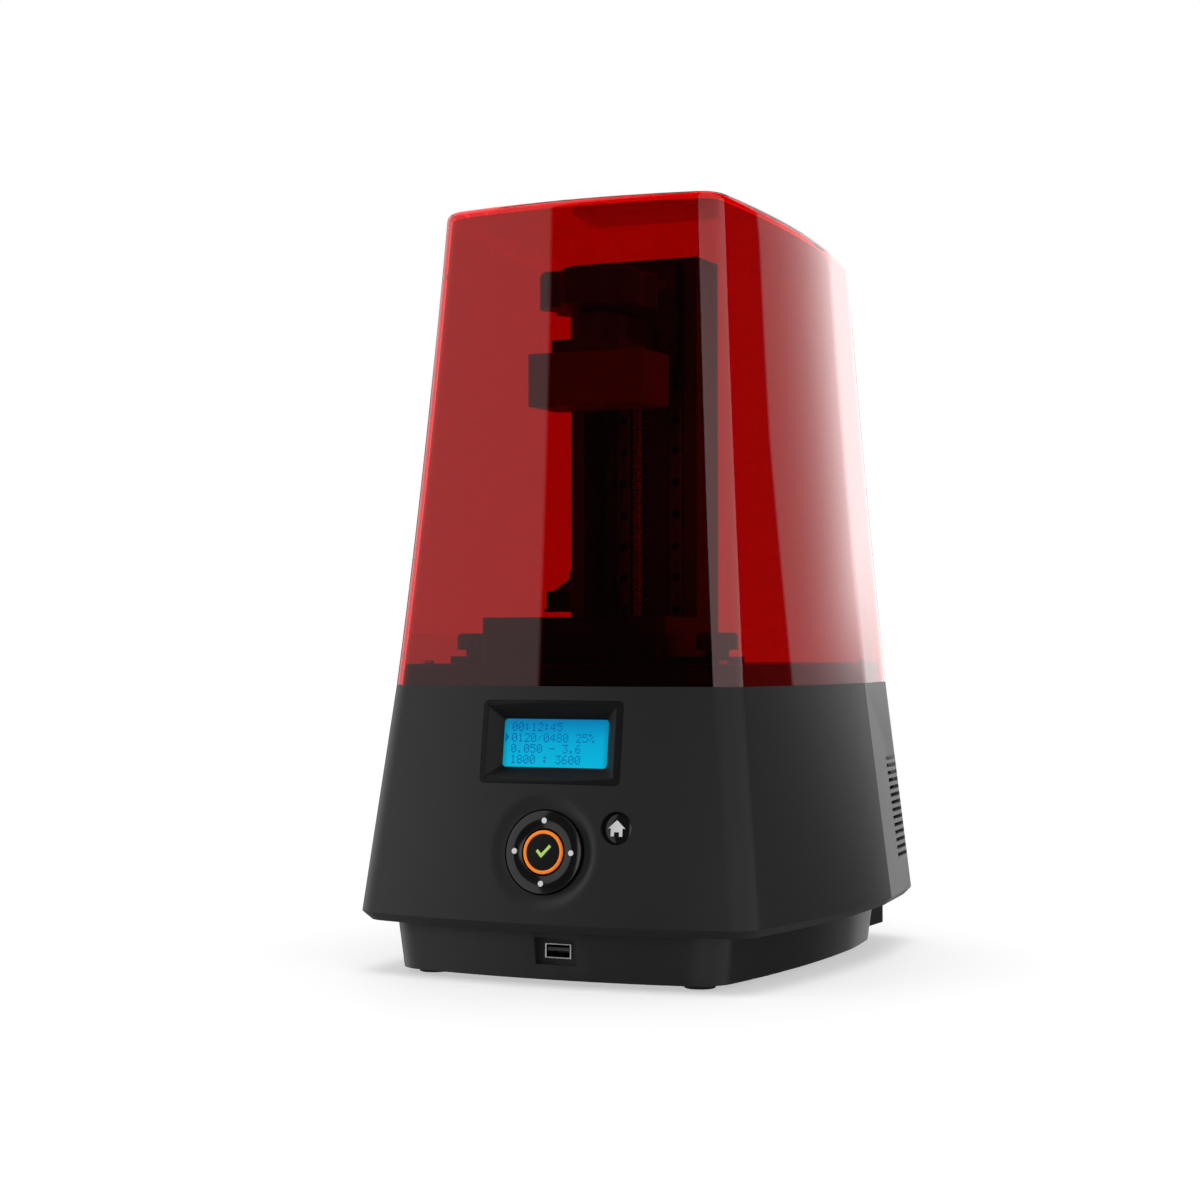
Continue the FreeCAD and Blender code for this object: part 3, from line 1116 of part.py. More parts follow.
# Rear: fan behind the louvres, mains inlet in the plinth and rocker switch
def makeFan():
    back = halfDepth - s.shell_wall
    front = back - s.fan_depth
    frame = box("fan_block", -s.fan_x, back - s.fan_depth / 2, s.fan_z - s.fan_size / 2, s.fan_size,
                s.fan_depth, s.fan_size)
    tunnel = rod("fan_tunnel", -s.fan_x, front - s.fan_depth, s.fan_z, s.fan_bore, s.fan_depth * 3, axis="y")
    reach = s.fan_bore + s.blade_gap / 2
    bars = [box("spider_flat", -s.fan_x, front + s.spider_depth / 2, s.fan_z - s.spider_width / 2, reach * 2,
                s.spider_depth, s.spider_width),
            box("spider_tall", -s.fan_x, front + s.spider_depth / 2, s.fan_z - reach, s.spider_width,
                s.spider_depth, reach * 2)]
    spindle = rod("fan_spindle", -s.fan_x, front, s.fan_z, s.spindle_radius, s.fan_depth / 2, axis="y")
    node(fuse("fan_whole", cut("fan_shroud", frame, tunnel), spindle, *bars), "fan_frame")
    rotor = newBody("rotor")
    padded(rotor, "hub", circleSketch(rotor, "hub_circle", 0, s.hub_radius), s.hub_depth)
    lean = math.tan(math.radians(sizeTable["blade_pitch"]))
    high = s.hub_depth - s.blade_gap
    sketch = newSketch(rotor, "blade_section", "YZ_Plane")
    reach = (high - s.blade_gap) / 2 * lean
    polygon(sketch, [(-reach - s.blade_sheet, s.blade_gap), (-reach, s.blade_gap), (reach, high),
                     (reach - s.blade_sheet, high)])
    blade = padded(rotor, "blade", sketch, s.fan_bore - s.blade_gap)
    ringPattern(rotor, "blades", blade, s.blade_count)
    pocket(rotor, "hub_bore", circleSketch(rotor, "hub_bore_circle", 0, s.spindle_radius + s.spindle_fit),
           s.fan_depth / 2, True)
    trim = rod("rotor_trim", 0, 0, 0, s.fan_bore - s.blade_gap, s.hub_depth)
    wheel = overlap("wheel", rotor, trim)
    place(wheel, -s.fan_x, front + s.spider_depth + s.blade_gap / 2, s.fan_z)
    wheel.Placement.Rotation = FreeCAD.Rotation(FreeCAD.Vector(1, 0, 0), -90)
    node(wheel, "fan_rotor")


def makeInlet():
    low = s.inlet_z - s.inlet_height / 2
    block = box("inlet_block", inletX, inletBack - s.inlet_depth / 2, low, s.inlet_width, s.inlet_depth,
                s.inlet_height)
    mouth = box("inlet_mouth", inletX, inletBack, low + s.inlet_wall, s.inlet_width - s.inlet_wall * 2,
                s.mouth_depth * 2, s.inlet_height - s.inlet_wall * 2)
    prongY = inletBack - s.mouth_depth + s.prong_length / 2 - s.panel_fit
    prongs = []
    for i in (-1, 0, 1):
        raised = s.prong_height / 2 * (1 - abs(i))
        prongs.append(box("prong_%d" % i, inletX + i * s.prong_pitch, prongY,
                          s.inlet_z - s.prong_height / 2 + raised, s.prong_width, s.prong_length,
                          s.prong_height))
    node(fuse("inlet", cut("inlet_shell", block, mouth), *prongs), "power_inlet")


def makeRocker():
    back = halfDepth - s.rocker_set
    middle = back - s.rocker_depth / 2
    low = s.rocker_z - s.rocker_height / 2
    pivotY = back - s.rocker_wall * 2
    inner = s.rocker_width - s.rocker_wall * 2
    case = box("switch_block", s.rocker_x, middle, low, s.rocker_width, s.rocker_depth, s.rocker_height)
    mouth = box("switch_mouth", s.rocker_x, middle + s.rocker_wall, low + s.rocker_wall, inner,
                s.rocker_depth, s.rocker_height - s.rocker_wall * 2)
    bearing = rod("switch_bearing", s.rocker_x - s.rocker_width, pivotY, s.rocker_z,
                  s.rocker_pin + s.spindle_fit, s.rocker_width * 2, axis="x")
    node(cut("switch", case, mouth, bearing), "power_switch")
    half = s.rocker_height / 2 - s.rocker_wall - s.rocker_gap
    lean = math.tan(math.radians(sizeTable["rocker_throw"]))
    crown = half * lean + s.rocker_wall
    keel = s.rocker_wall
    paddle = extruded("paddle", [(-keel, -keel), (0, -half), (crown, -half), (keel, 0), (crown, half),
                                 (0, half), (-keel, keel)], inner - s.rocker_gap * 2, "YZ_Plane", True)
    pinLength = s.rocker_width - s.rocker_wall
    pin = rod("paddle_pin", -pinLength / 2, 0, 0, s.rocker_pin, pinLength, axis="x")
    rocker = place(fuse("rocker", paddle, pin), s.rocker_x, pivotY, s.rocker_z)
    rocker.Placement.Rotation = FreeCAD.Rotation(FreeCAD.Vector(1, 0, 0), -sizeTable["rocker_throw"])
    node(rocker, "switch_rocker")


makeFan()
makeInlet()
makeRocker()

doc.recompute()
os.makedirs("parts", exist_ok=True)
failed = [thing.Name for thing in doc.Objects if "Invalid" in thing.State or "Error" in thing.State]
failed += [thing.Label for thing in nodes if thing.Shape.isNull() or not thing.Shape.isValid()]
if failed:
    raise RuntimeError("failed: " + ", ".join(failed))
for thing in nodes:
    thing.Shape.exportStep("parts/%s.step" % thing.Label)
    print(thing.Label, len(thing.Shape.Solids), thing.Shape.Volume)
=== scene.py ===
import json
import math

import bmesh
import bpy
from mathutils import Matrix, Vector


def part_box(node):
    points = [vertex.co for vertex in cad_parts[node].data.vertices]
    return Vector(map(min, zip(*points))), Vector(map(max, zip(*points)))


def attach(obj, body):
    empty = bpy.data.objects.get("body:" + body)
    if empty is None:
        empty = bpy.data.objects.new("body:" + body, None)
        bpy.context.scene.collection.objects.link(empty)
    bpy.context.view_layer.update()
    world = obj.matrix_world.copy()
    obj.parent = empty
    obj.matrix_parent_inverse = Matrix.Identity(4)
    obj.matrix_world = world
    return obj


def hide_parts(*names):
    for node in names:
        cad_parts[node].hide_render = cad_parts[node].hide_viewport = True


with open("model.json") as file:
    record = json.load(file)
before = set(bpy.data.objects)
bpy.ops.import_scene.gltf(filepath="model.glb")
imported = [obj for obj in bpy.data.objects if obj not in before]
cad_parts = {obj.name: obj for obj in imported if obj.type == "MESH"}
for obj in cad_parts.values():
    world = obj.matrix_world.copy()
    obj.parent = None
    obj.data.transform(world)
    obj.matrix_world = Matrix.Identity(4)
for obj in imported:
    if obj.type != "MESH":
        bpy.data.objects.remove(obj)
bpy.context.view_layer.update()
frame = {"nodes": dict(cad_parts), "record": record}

# Resin printer, metres. X to the right seen from the front, the front faces -Y, Z up.
scene = bpy.context.scene
scene.view_settings.view_transform = "Standard"
print("frame loaded,", len(frame["nodes"]), "nodes")


# Shaders
class Field:
    # a socket that takes Python arithmetic
    def __init__(self, graph, socket):
        self.graph = graph
        self.socket = socket

    def maths(self, operation, first, second):
        return self.graph.node("ShaderNodeMath", {"operation": operation}, {0: first, 1: second})

    def __add__(self, other):
        return self.maths("ADD", self, other)

    def __radd__(self, other):
        return self.maths("ADD", other, self)

    def __sub__(self, other):
        return self.maths("SUBTRACT", self, other)

    def __rsub__(self, other):
        return self.maths("SUBTRACT", other, self)

    def __mul__(self, other):
        return self.maths("MULTIPLY", self, other)

    def __rmul__(self, other):
        return self.maths("MULTIPLY", other, self)

    def __truediv__(self, other):
        return self.maths("DIVIDE", self, other)

    def __rtruediv__(self, other):
        return self.maths("DIVIDE", other, self)


class Graph:
    def __init__(self, tree):
        self.tree = tree

    def node(self, kind, settings=None, values=None, out=0):
        made = self.tree.nodes.new(kind)
        for name, value in (settings or {}).items():
            if name == "stops":
                ramp = made.color_ramp
                while len(ramp.elements) < len(value):
                    ramp.elements.new(1)
                for element, (place, colour) in zip(ramp.elements, value):
                    element.position = place
                    element.color = colour
            else:
                setattr(made, name, value)
        for key, value in (values or {}).items():
            self.feed(made.inputs[key], value)
        return Field(self, made.outputs[out])

    def feed(self, socket, value):
        if isinstance(value, Field):
            self.tree.links.new(value.socket, socket)
        else:
            socket.default_value = value

    def step(self, value, low, high):
        # 0 before low, 1 past high, smooth between
        return self.node("ShaderNodeMapRange", {"interpolation_type": "SMOOTHSTEP"},
                         {"Value": value, "From Min": low, "From Max": high})


class Finish(Graph):
    # a material: one Principled shader and what feeds it
    def __init__(self, name, **sockets):
        self.material = bpy.data.materials.new(name)
        self.material.use_nodes = True
        Graph.__init__(self, self.material.node_tree)
        self.shader = self.tree.nodes["Principled BSDF"]
        for socket, value in sockets.items():
            self.set(socket.replace("_", " "), value)

    def set(self, socket, value):
        self.feed(self.shader.inputs[socket], value)

    def place(self):
        return self.node("ShaderNodeTexCoord", out="Object")

    def axis(self, name):
        return self.node("ShaderNodeSeparateXYZ", {}, {0: self.place()}, out=name)

    def noise(self, scale, detail=2.0, rough=0.5):
        return self.node("ShaderNodeTexNoise", {}, {"Vector": self.place(), "Scale": scale, "Detail": detail,
                                                    "Roughness": rough})

    def mix(self, factor, first, second):
        return self.node("ShaderNodeMix", {"data_type": "RGBA"}, {0: factor, 6: first, 7: second}, out=2)

    def bump(self, height, strength, distance):
        self.set("Normal", self.node("ShaderNodeBump", {}, {"Strength": strength, "Distance": distance,
                                                            "Height": height}))


def grey(level, tint=0.0):
    return (level * (1 - tint), level, level * (1 + tint), 1)


def dimmed(colour, share):
    return tuple(part * share for part in colour[:3]) + (1,)


mouldLook = {"tint": 0.01, "flowScale": 9.0, "darker": 0.86, "paler": 1.14, "grainDetail": 3.0, "grainRough": 0.6,
             "glossSpread": 0.22, "reliefDepth": 0.0002}


def moulded(name, level, rough, grain, relief, index=1.24):
    # spark-eroded plastic: fine grain in the relief and the gloss, faint flow in the colour
    finish = Finish(name, IOR=index)
    fine = finish.noise(grain, mouldLook["grainDetail"], mouldLook["grainRough"])
    flow = finish.noise(mouldLook["flowScale"])
    darker, paler = (grey(level * mouldLook[end], mouldLook["tint"]) for end in ("darker", "paler"))
    finish.set("Base Color", finish.mix(flow, darker, paler))
    finish.set("Roughness", (fine - 0.5) * mouldLook["glossSpread"] + rough)
    finish.bump(fine, relief, mouldLook["reliefDepth"])
    return finish


polishLook = {"hazeScale": 55.0, "hazeDetail": 4.0, "hazeRough": 0.1, "hazeCoat": 0.3, "coatRough": 0.05}


def polished(name, colour, rough, coat, index=1.3):
    # smooth plastic with a little handling haze
    finish = Finish(name, Base_Color=colour, IOR=index, Coat_IOR=index, Coat_Roughness=polishLook["coatRough"])
    haze = finish.noise(polishLook["hazeScale"], polishLook["hazeDetail"])
    finish.set("Roughness", haze * polishLook["hazeRough"] + rough)
    finish.set("Coat Weight", (1 - haze * polishLook["hazeCoat"]) * coat)
    return finish


metalLook = {"scale": 260.0, "detail": 4.0, "darker": 0.78, "glossSpread": 0.2, "relief": 0.08,
             "reliefDepth": 0.0001}


def metal(name, colour, rough, stretch):
    # ground or drawn metal with streaks along one direction
    finish = Finish(name, Metallic=1.0)
    turned = finish.node("ShaderNodeMapping", {}, {"Vector": finish.place(), "Scale": stretch})
    streak = finish.node("ShaderNodeTexNoise", {}, {"Vector": turned, "Scale": metalLook["scale"],
                                                    "Detail": metalLook["detail"]})
    finish.set("Base Color", finish.mix(streak, dimmed(colour, metalLook["darker"]), colour))
    finish.set("Roughness", (streak - 0.5) * metalLook["glossSpread"] + rough)
    finish.bump(streak, metalLook["relief"], metalLook["reliefDepth"])
    return finish


inkLook = {"speckScale": 900.0, "darker": 0.9, "glossSpread": 0.1}


def painted(name, colour, rough, glow):
    # printed or lit from behind: a flat colour with a faint glow, which on printed marks is painted light
    finish = Finish(name, Emission_Strength=glow)
    speck = finish.noise(inkLook["speckScale"])
    ink = finish.mix(speck, dimmed(colour, inkLook["darker"]), colour)
    finish.set("Base Color", ink)
    finish.set("Emission Color", ink)
    finish.set("Roughness", speck * inkLook["glossSpread"] + rough)
    return finish


hoodLook = {"tint": (0.565, 0.0012, 0.0014, 1), "bend": 1.02, "gloss": 1.49, "hazeScale": 30.0, "hazeDetail": 3.0,
            "hazeRough": 0.012}


def tintedClear():
    # thin clear red sheet: hardly any bending, full surface gloss, faint moulding haze
    finish = Finish("hoodRed", Base_Color=hoodLook["tint"], IOR=hoodLook["bend"], Transmission_Weight=1.0,
                    Coat_Weight=1.0, Coat_IOR=hoodLook["gloss"], Coat_Roughness=0.0)
    haze = finish.noise(hoodLook["hazeScale"], hoodLook["hazeDetail"])
    finish.set("Roughness", haze * hoodLook["hazeRough"])
    return finish


# screen colours; the darkest stop, used at the top, is painted shade from the bezel
screenLook = {"unlit": (0, 0.012, 0.02, 1), "rough": 0.25, "specular": 0.15, "strength": 1.0,
              "stops": [(0.15, (0.0, 0.44, 0.68, 1)), (0.6, (0.0, 0.36, 0.62, 1)), (0.95, (0.0, 0.17, 0.41, 1))],
              "edge": (0.0, 0.2, 0.28, 1), "edgeFrom": 0.4, "edgeTo": 0.5}


def litScreen(centre, size):
    # backlit cell, dimmer at both ends; the darker colour towards the top is painted shade from the bezel
    finish = Finish("screenBlue", Base_Color=screenLook["unlit"], Roughness=screenLook["rough"],
                    Specular_IOR_Level=screenLook["specular"], Emission_Strength=screenLook["strength"])
    rise = (finish.axis("Z") - centre.z) / size.z + 0.5
    ramp = finish.node("ShaderNodeValToRGB", {"stops": screenLook["stops"]}, {0: rise})
    ends = finish.node("ShaderNodeMath", {"operation": "ABSOLUTE"}, {0: (finish.axis("X") - centre.x) / size.x})
    dim = finish.step(ends, screenLook["edgeFrom"], screenLook["edgeTo"])
    finish.set("Emission Color", finish.mix(dim, ramp, screenLook["edge"]))
    return finish


socketLook = {"steel": (0.82, 0.82, 0.83, 1), "rough": 0.26, "streaks": (8, 8, 0.5),
              "inside": (0.004, 0.004, 0.004, 1), "lip": 0.0003, "fade": 0.001}


def socketSteel(front):
    # bright at the mouth, with painted shade further in
    finish = metal("socketSteel", socketLook["steel"], socketLook["rough"], socketLook["streaks"])
    # painted shade: deeper in, the socket turns near-black and stops being metal
    deep = finish.step(finish.axis("Y") - front, socketLook["lip"], socketLook["fade"])
    streaked = Field(finish, finish.shader.inputs["Base Color"].links[0].from_socket)
    finish.set("Base Color", finish.mix(deep, streaked, socketLook["inside"]))
    finish.set("Metallic", 1 - deep)
    return finish


# mouldings: grey level, roughness, grain per metre and relief
shellBlack = moulded("shellBlack", 0.0175, 0.37, 1500.0, 0.2)
rearGrey = moulded("rearGrey", 0.165, 0.5, 900.0, 0.5, index=1.36)
deckBlack = moulded("deckBlack", 0.008, 0.4, 1800.0, 0.15)
bezelBlack = moulded("bezelBlack", 0.0055, 0.36, 1800.0, 0.12)
knobBlack = moulded("knobBlack", 0.04, 0.45, 1400.0, 0.3)
holeBlack = moulded("holeBlack", 0.005, 0.5, 1400.0, 0.1)
rubberBlack = moulded("rubberBlack", 0.018, 0.75, 700.0, 0.4)
anodisedBlack = moulded("anodisedBlack", 0.05, 0.45, 1600.0, 0.1)
platformGrey = moulded("platformGrey", 0.13, 0.5, 1200.0, 0.15)
# gloss plastics: colour, roughness and coat
glossBlack = polished("glossBlack", grey(0.006), 0.07, 0.1, index=1.5)
boardGreen = polished("boardGreen", (0.012, 0.085, 0.03, 1), 0.3, 0.2)
# marks: colour, roughness and glow; on the tick and the white print the glow is painted light
ringOrange = painted("ringOrange", (0.8, 0.19, 0.004, 1), 0.5, 0.12)
# painted light: the tick and the white print glow though they are no lamps
tickGreen = painted("tickGreen", (0.36, 0.55, 0.1, 1), 0.5, 0.12)
markWhite = painted("markWhite", (0.52, 0.52, 0.53, 1), 0.55, 0.08)
dotBlue = painted("dotBlue", (0.0, 0.055, 0.22, 1), 0.4, 0.9)
dotBlue.set("Specular IOR Level", 0.1)
# metals: colour, roughness and how the streaks are stretched
brightSteel = metal("brightSteel", (0.62, 0.62, 0.63, 1), 0.26, (8, 8, 0.5))
darkSteel = metal("darkSteel", (0.13, 0.13, 0.135, 1), 0.36, (8, 8, 0.5))
sheetAluminium = metal("sheetAluminium", (0.72, 0.72, 0.73, 1), 0.4, (0.5, 8, 8))
nutBrass = metal("nutBrass", (0.72, 0.5, 0.2, 1), 0.3, (8, 8, 0.6))
socketBright = socketSteel(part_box("usb_port")[0].y)
# clear and lit
hoodRed = tintedClear()
windowGlass = Finish("windowGlass", Base_Color=(0.92, 0.97, 0.97, 1), Roughness=0.0, IOR=1.5,
                     Transmission_Weight=1.0)
screenLow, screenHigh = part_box("display_screen")
screenBlue = litScreen((screenLow + screenHigh) / 2, screenHigh - screenLow)

slotFinish = {"shell_black": shellBlack, "rear_grey": rearGrey, "deck_black": deckBlack, "gloss_black": glossBlack,
              "hood_red": hoodRed, "screen_blue": screenBlue, "ring_orange": ringOrange,
              "rubber_black": rubberBlack, "anodised_black": anodisedBlack, "bright_steel": brightSteel,
              "nut_brass": nutBrass, "board_green": boardGreen, "window_glass": windowGlass,
              "sheet_aluminium": sheetAluminium, "dark_steel": darkSteel}
ownFinish = {"display_bezel": bezelBlack, "power_inlet": bezelBlack, "platform_knob": knobBlack,
             "tank_knob_left": knobBlack, "tank_knob_right": knobBlack, "rail_screws": holeBlack,
             "build_platform": platformGrey, "ok_button": holeBlack, "usb_port": socketBright,
             "usb_tongue": anodisedBlack}
slotOf = {part["node"]: part["material_slot"] for part in frame["record"]["subparts"]}
bodyOf = {node: body for body, members in frame["record"]["behaviour"]["bodies"].items() for node in members}
finishOf = {node: ownFinish.get(node, slotFinish[slotOf[node]]) for node in frame["nodes"]}
for node, piece in frame["nodes"].items():
    piece.data.materials.clear()
    piece.data.materials.append(finishOf[node].material)
print("finishes set on", len(finishOf), "nodes")


# Modelling helpers
def asMesh(name, bm):
    mesh = bpy.data.meshes.new(name)
    bm.to_mesh(mesh)
    bm.free()
    return mesh


def asObject(name, bm):
    made = bpy.data.objects.new(name, asMesh(name, bm))
    scene.collection.objects.link(made)
    return made


def newPiece(name, bm, finish, node, replace=True, smooth=35):
    # a finished mesh that rides with the node's body, and stands for the node unless told otherwise
    piece = asObject(name, bm)
    piece.data.materials.append(finish.material)
    piece.data.shade_smooth()
    piece.data.set_sharp_from_angle(angle=math.radians(smooth))
    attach(piece, bodyOf[node])
    if replace:
        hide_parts(node)
    return piece


def breakEdges(piece, width, angle):
    bevel = piece.modifiers.new("brokenEdges", "BEVEL")
    bevel.width = width
    bevel.segments = 2
    bevel.limit_method = "ANGLE"
    bevel.angle_limit = math.radians(angle)
    bevel.harden_normals = True


def profileLine(bm, profile):
    # points of radius and height, joined in turn
    verts = [bm.verts.new((radius, 0, height)) for radius, height in profile]
    for first, second in zip(verts, verts[1:]):
        bm.edges.new((first, second))
    return verts


def turnedShape(profile, steps, rounding=0.0, crown=None, crownRounding=0.0):
    # a profile with its inner corners rounded, one of them more, spun about Z
    bm = bmesh.new()
    verts = profileLine(bm, profile)
    sharp = [vert for i, vert in enumerate(verts[:-1]) if i and i != crown]
    for corners, offset, folds in (([verts[crown]] if crown else [], crownRounding, 10), (sharp, rounding, 3)):
        if offset and corners:
            bmesh.ops.bevel(bm, geom=corners, offset=offset, offset_type="OFFSET", segments=folds, profile=0.5,
                            affect="VERTICES", material=-1, clamp_overlap=True)
    bmesh.ops.spin(bm, geom=bm.verts[:] + bm.edges[:], cent=(0, 0, 0), axis=(0, 0, 1), angle=math.tau,
                   steps=steps, use_merge=True)
    bmesh.ops.remove_doubles(bm, verts=bm.verts, dist=1e-7)
    bmesh.ops.recalc_face_normals(bm, faces=bm.faces)
    return bm


def cylinder(radius, depth, steps, taper=1.0):
    bm = bmesh.new()
    bmesh.ops.create_cone(bm, cap_ends=True, segments=steps, radius1=radius, radius2=radius * taper, depth=depth)
    return bm


def flatMark(points, thickness):
    # a thin printed or inlaid shape on z = 0
    bm = bmesh.new()
    face = bm.faces.new([bm.verts.new((x, y, 0)) for x, y in points])
    bmesh.ops.recalc_face_normals(bm, faces=[face])
    raised = bmesh.ops.extrude_face_region(bm, geom=[face])["geom"]
    bmesh.ops.translate(bm, vec=(0, 0, thickness), verts=[v for v in raised if isinstance(v, bmesh.types.BMVert)])
    bmesh.ops.recalc_face_normals(bm, faces=bm.faces)
    return bm


def moved(bm, matrix):
    bmesh.ops.transform(bm, matrix=matrix, verts=bm.verts)
    return bm


def joined(shapes):
    # several shapes as one
    whole = bmesh.new()
    for bm in shapes:
        mesh = asMesh("part", bm)
        whole.from_mesh(mesh)
        bpy.data.meshes.remove(mesh)
    return whole


def carved(bm, cutters):
    # the shape with the cutters taken out of it
    blank = asObject("blank", bm)
    tools = [asObject("cutter", cutter) for cutter in cutters]
    for tool in tools:
        difference = blank.modifiers.new("opening", "BOOLEAN")
        difference.operation = "DIFFERENCE"
        difference.solver = "EXACT"
        difference.object = tool
    bpy.context.view_layer.update()
    result = bmesh.new()
    result.from_object(blank, bpy.context.evaluated_depsgraph_get())
    for made in [blank] + tools:
        mesh = made.data
        bpy.data.objects.remove(made)
        bpy.data.meshes.remove(mesh)
    return result


# Housing plan, the same for the shell and the hood
housing = {"halfSkirt": 0.140, "halfSeam": 0.1225, "frontSkirt": 0.1685, "frontSeam": 0.1503, "back": 0.1685,
           "frontBow": 0.466, "sideBow": 0.830, "frontCorner": 0.018, "rearCorner": 0.048, "creaseY": 0.060,
           "facet": math.radians(8), "skirtZ": 0.036, "chamfer": 0.005, "seamZ": 0.171, "wall": 0.003,
           "rim": 0.014, "frontSteps": 72, "cornerSteps": 12, "sideSteps": 36, "facetSteps": 8, "rearSteps": 16,
           "backSteps": 10}


def planLoop(bm, z, half, front, back, trim=0.0, fall=0.0, whole=True):
    # the plan at one height: bowed front, round corner, bowed side and, when whole, the creased back
    half, front, back = half - trim, front - trim, back - trim
    bow, side = housing["frontBow"] - trim, housing["sideBow"] - trim
    corner, rear = housing["frontCorner"] - trim, housing["rearCorner"] - trim
    frontY, sideX = bow - front, half - side
    # the corner's round touches both bows from inside
    gap = math.hypot(sideX, frontY)
    along = ((bow - corner) ** 2 - (side - corner) ** 2 + gap ** 2) / (2 * gap)
    across = math.sqrt((bow - corner) ** 2 - along ** 2)
    cornerX = (along * sideX + across * frontY) / gap
    cornerY = frontY + (across * sideX - along * frontY) / gap
    turnFront = math.atan2(cornerY - frontY, cornerX)
    turnSide = math.atan2(cornerY, cornerX - sideX)
    turnCrease = math.asin(housing["creaseY"] / side)
    creaseX = sideX + side * math.cos(turnCrease)
    facet, rearY = housing["facet"], back - rear
    facetY = rearY + rear * math.sin(facet)
    rearX = creaseX - rear * math.cos(facet) - (facetY - housing["creaseY"]) * math.tan(facet)
    before = set(bm.edges)
    last = bm.verts.new((0, -front, 0))

    def sweep(vert, x, y, angle, steps):
        made = bmesh.ops.spin(bm, geom=[vert], cent=(x, y, 0), axis=(0, 0, 1), angle=angle, steps=steps)
        return [v for v in made["geom_last"] if isinstance(v, bmesh.types.BMVert)][0]

    def straight(vert, x, y, steps):
        start = vert.co.copy()
        for i in range(steps):
            made = bmesh.ops.extrude_vert_indiv(bm, verts=[vert])
            vert = made["verts"][0]
            vert.co = start.lerp(Vector((x, y, 0)), (i + 1) / steps)
        return vert

    def added():
        edges = [edge for edge in bm.edges if edge not in before]
        return edges, list({vert for edge in edges for vert in edge.verts})

    last = sweep(last, 0, frontY, turnFront + math.pi / 2, housing["frontSteps"])
    last = sweep(last, cornerX, cornerY, turnSide - turnFront, housing["cornerSteps"])
    last = sweep(last, sideX, 0, turnCrease - turnSide, housing["sideSteps"])
    if whole:
        last = straight(last, rearX + rear * math.cos(facet), facetY, housing["facetSteps"])
        last = sweep(last, rearX, rearY, math.pi / 2 - facet, housing["rearSteps"])
        straight(last, 0, back, housing["backSteps"])
    edges, verts = added()
    bmesh.ops.mirror(bm, geom=verts + edges, matrix=Matrix.Identity(4), merge_dist=1e-6, axis="X")
    edges, verts = added()
    place = Matrix.Translation((0, 0, z)) @ Matrix.Rotation(-math.atan(fall), 4, "X")
    bmesh.ops.transform(bm, matrix=place, verts=verts)
    return edges


# Front shell with its dish and openings
dial = {"x": 0.003, "rise": 0.041, "dishIn": 0.0254, "dishOut": 0.0338, "dishDepth": 0.004, "leftShare": 0.3,
        "sideGain": 0.35, "hole": 0.0246}
window = {"x": 0.0035, "rise": 0.104, "wide": 0.0894, "tall": 0.0484, "corner": 0.0032, "cornerSteps": 6}
homeKey = {"x": 0.0476, "rise": 0.056, "hole": 0.0094, "radius": 0.009, "set": 0.0034, "thick": 0.004,
           "edge": 0.0009, "dome": 0.0003, "domeShare": 0.6, "rounding": 0.0004, "markThick": 0.0004,
           "markSunk": 0.00035}
shell = {"rows": 80, "cutDepth": 0.05, "smooth": 30, "edge": 0.0004, "edgeAngle": 32}
roundSteps = 96
lean = math.atan2(housing["frontSkirt"] - housing["frontSeam"], housing["seamZ"] - housing["skirtZ"])
panel = Matrix.Translation((0, -housing["frontSkirt"], housing["skirtZ"])) @ Matrix.Rotation(
    math.pi / 2 - lean, 4, "X")  # x across, y up the face, z out of it


def onPanel(x, rise, out=0.0):
    return panel @ Matrix.Translation((x, rise, out))


def pressDish(bm):
    # the hollow round the dial, shallower on the left
    toFace = panel.inverted()
    inward = -(panel.to_3x3() @ Vector((0, 0, 1)))
    for vert in bm.verts:
        at = toFace @ vert.co
        radius = math.hypot(at.x - dial["x"], at.y - dial["rise"])
        if vert.co.y < 0 and radius < dial["dishOut"]:
            share = min((dial["dishOut"] - radius) / (dial["dishOut"] - dial["dishIn"]), 1)
            side = dial["leftShare"] + dial["sideGain"] * (1 + (at.x - dial["x"]) / max(radius, 0.001))
            vert.co += inward * dial["dishDepth"] * share * share * (3 - 2 * share) * side


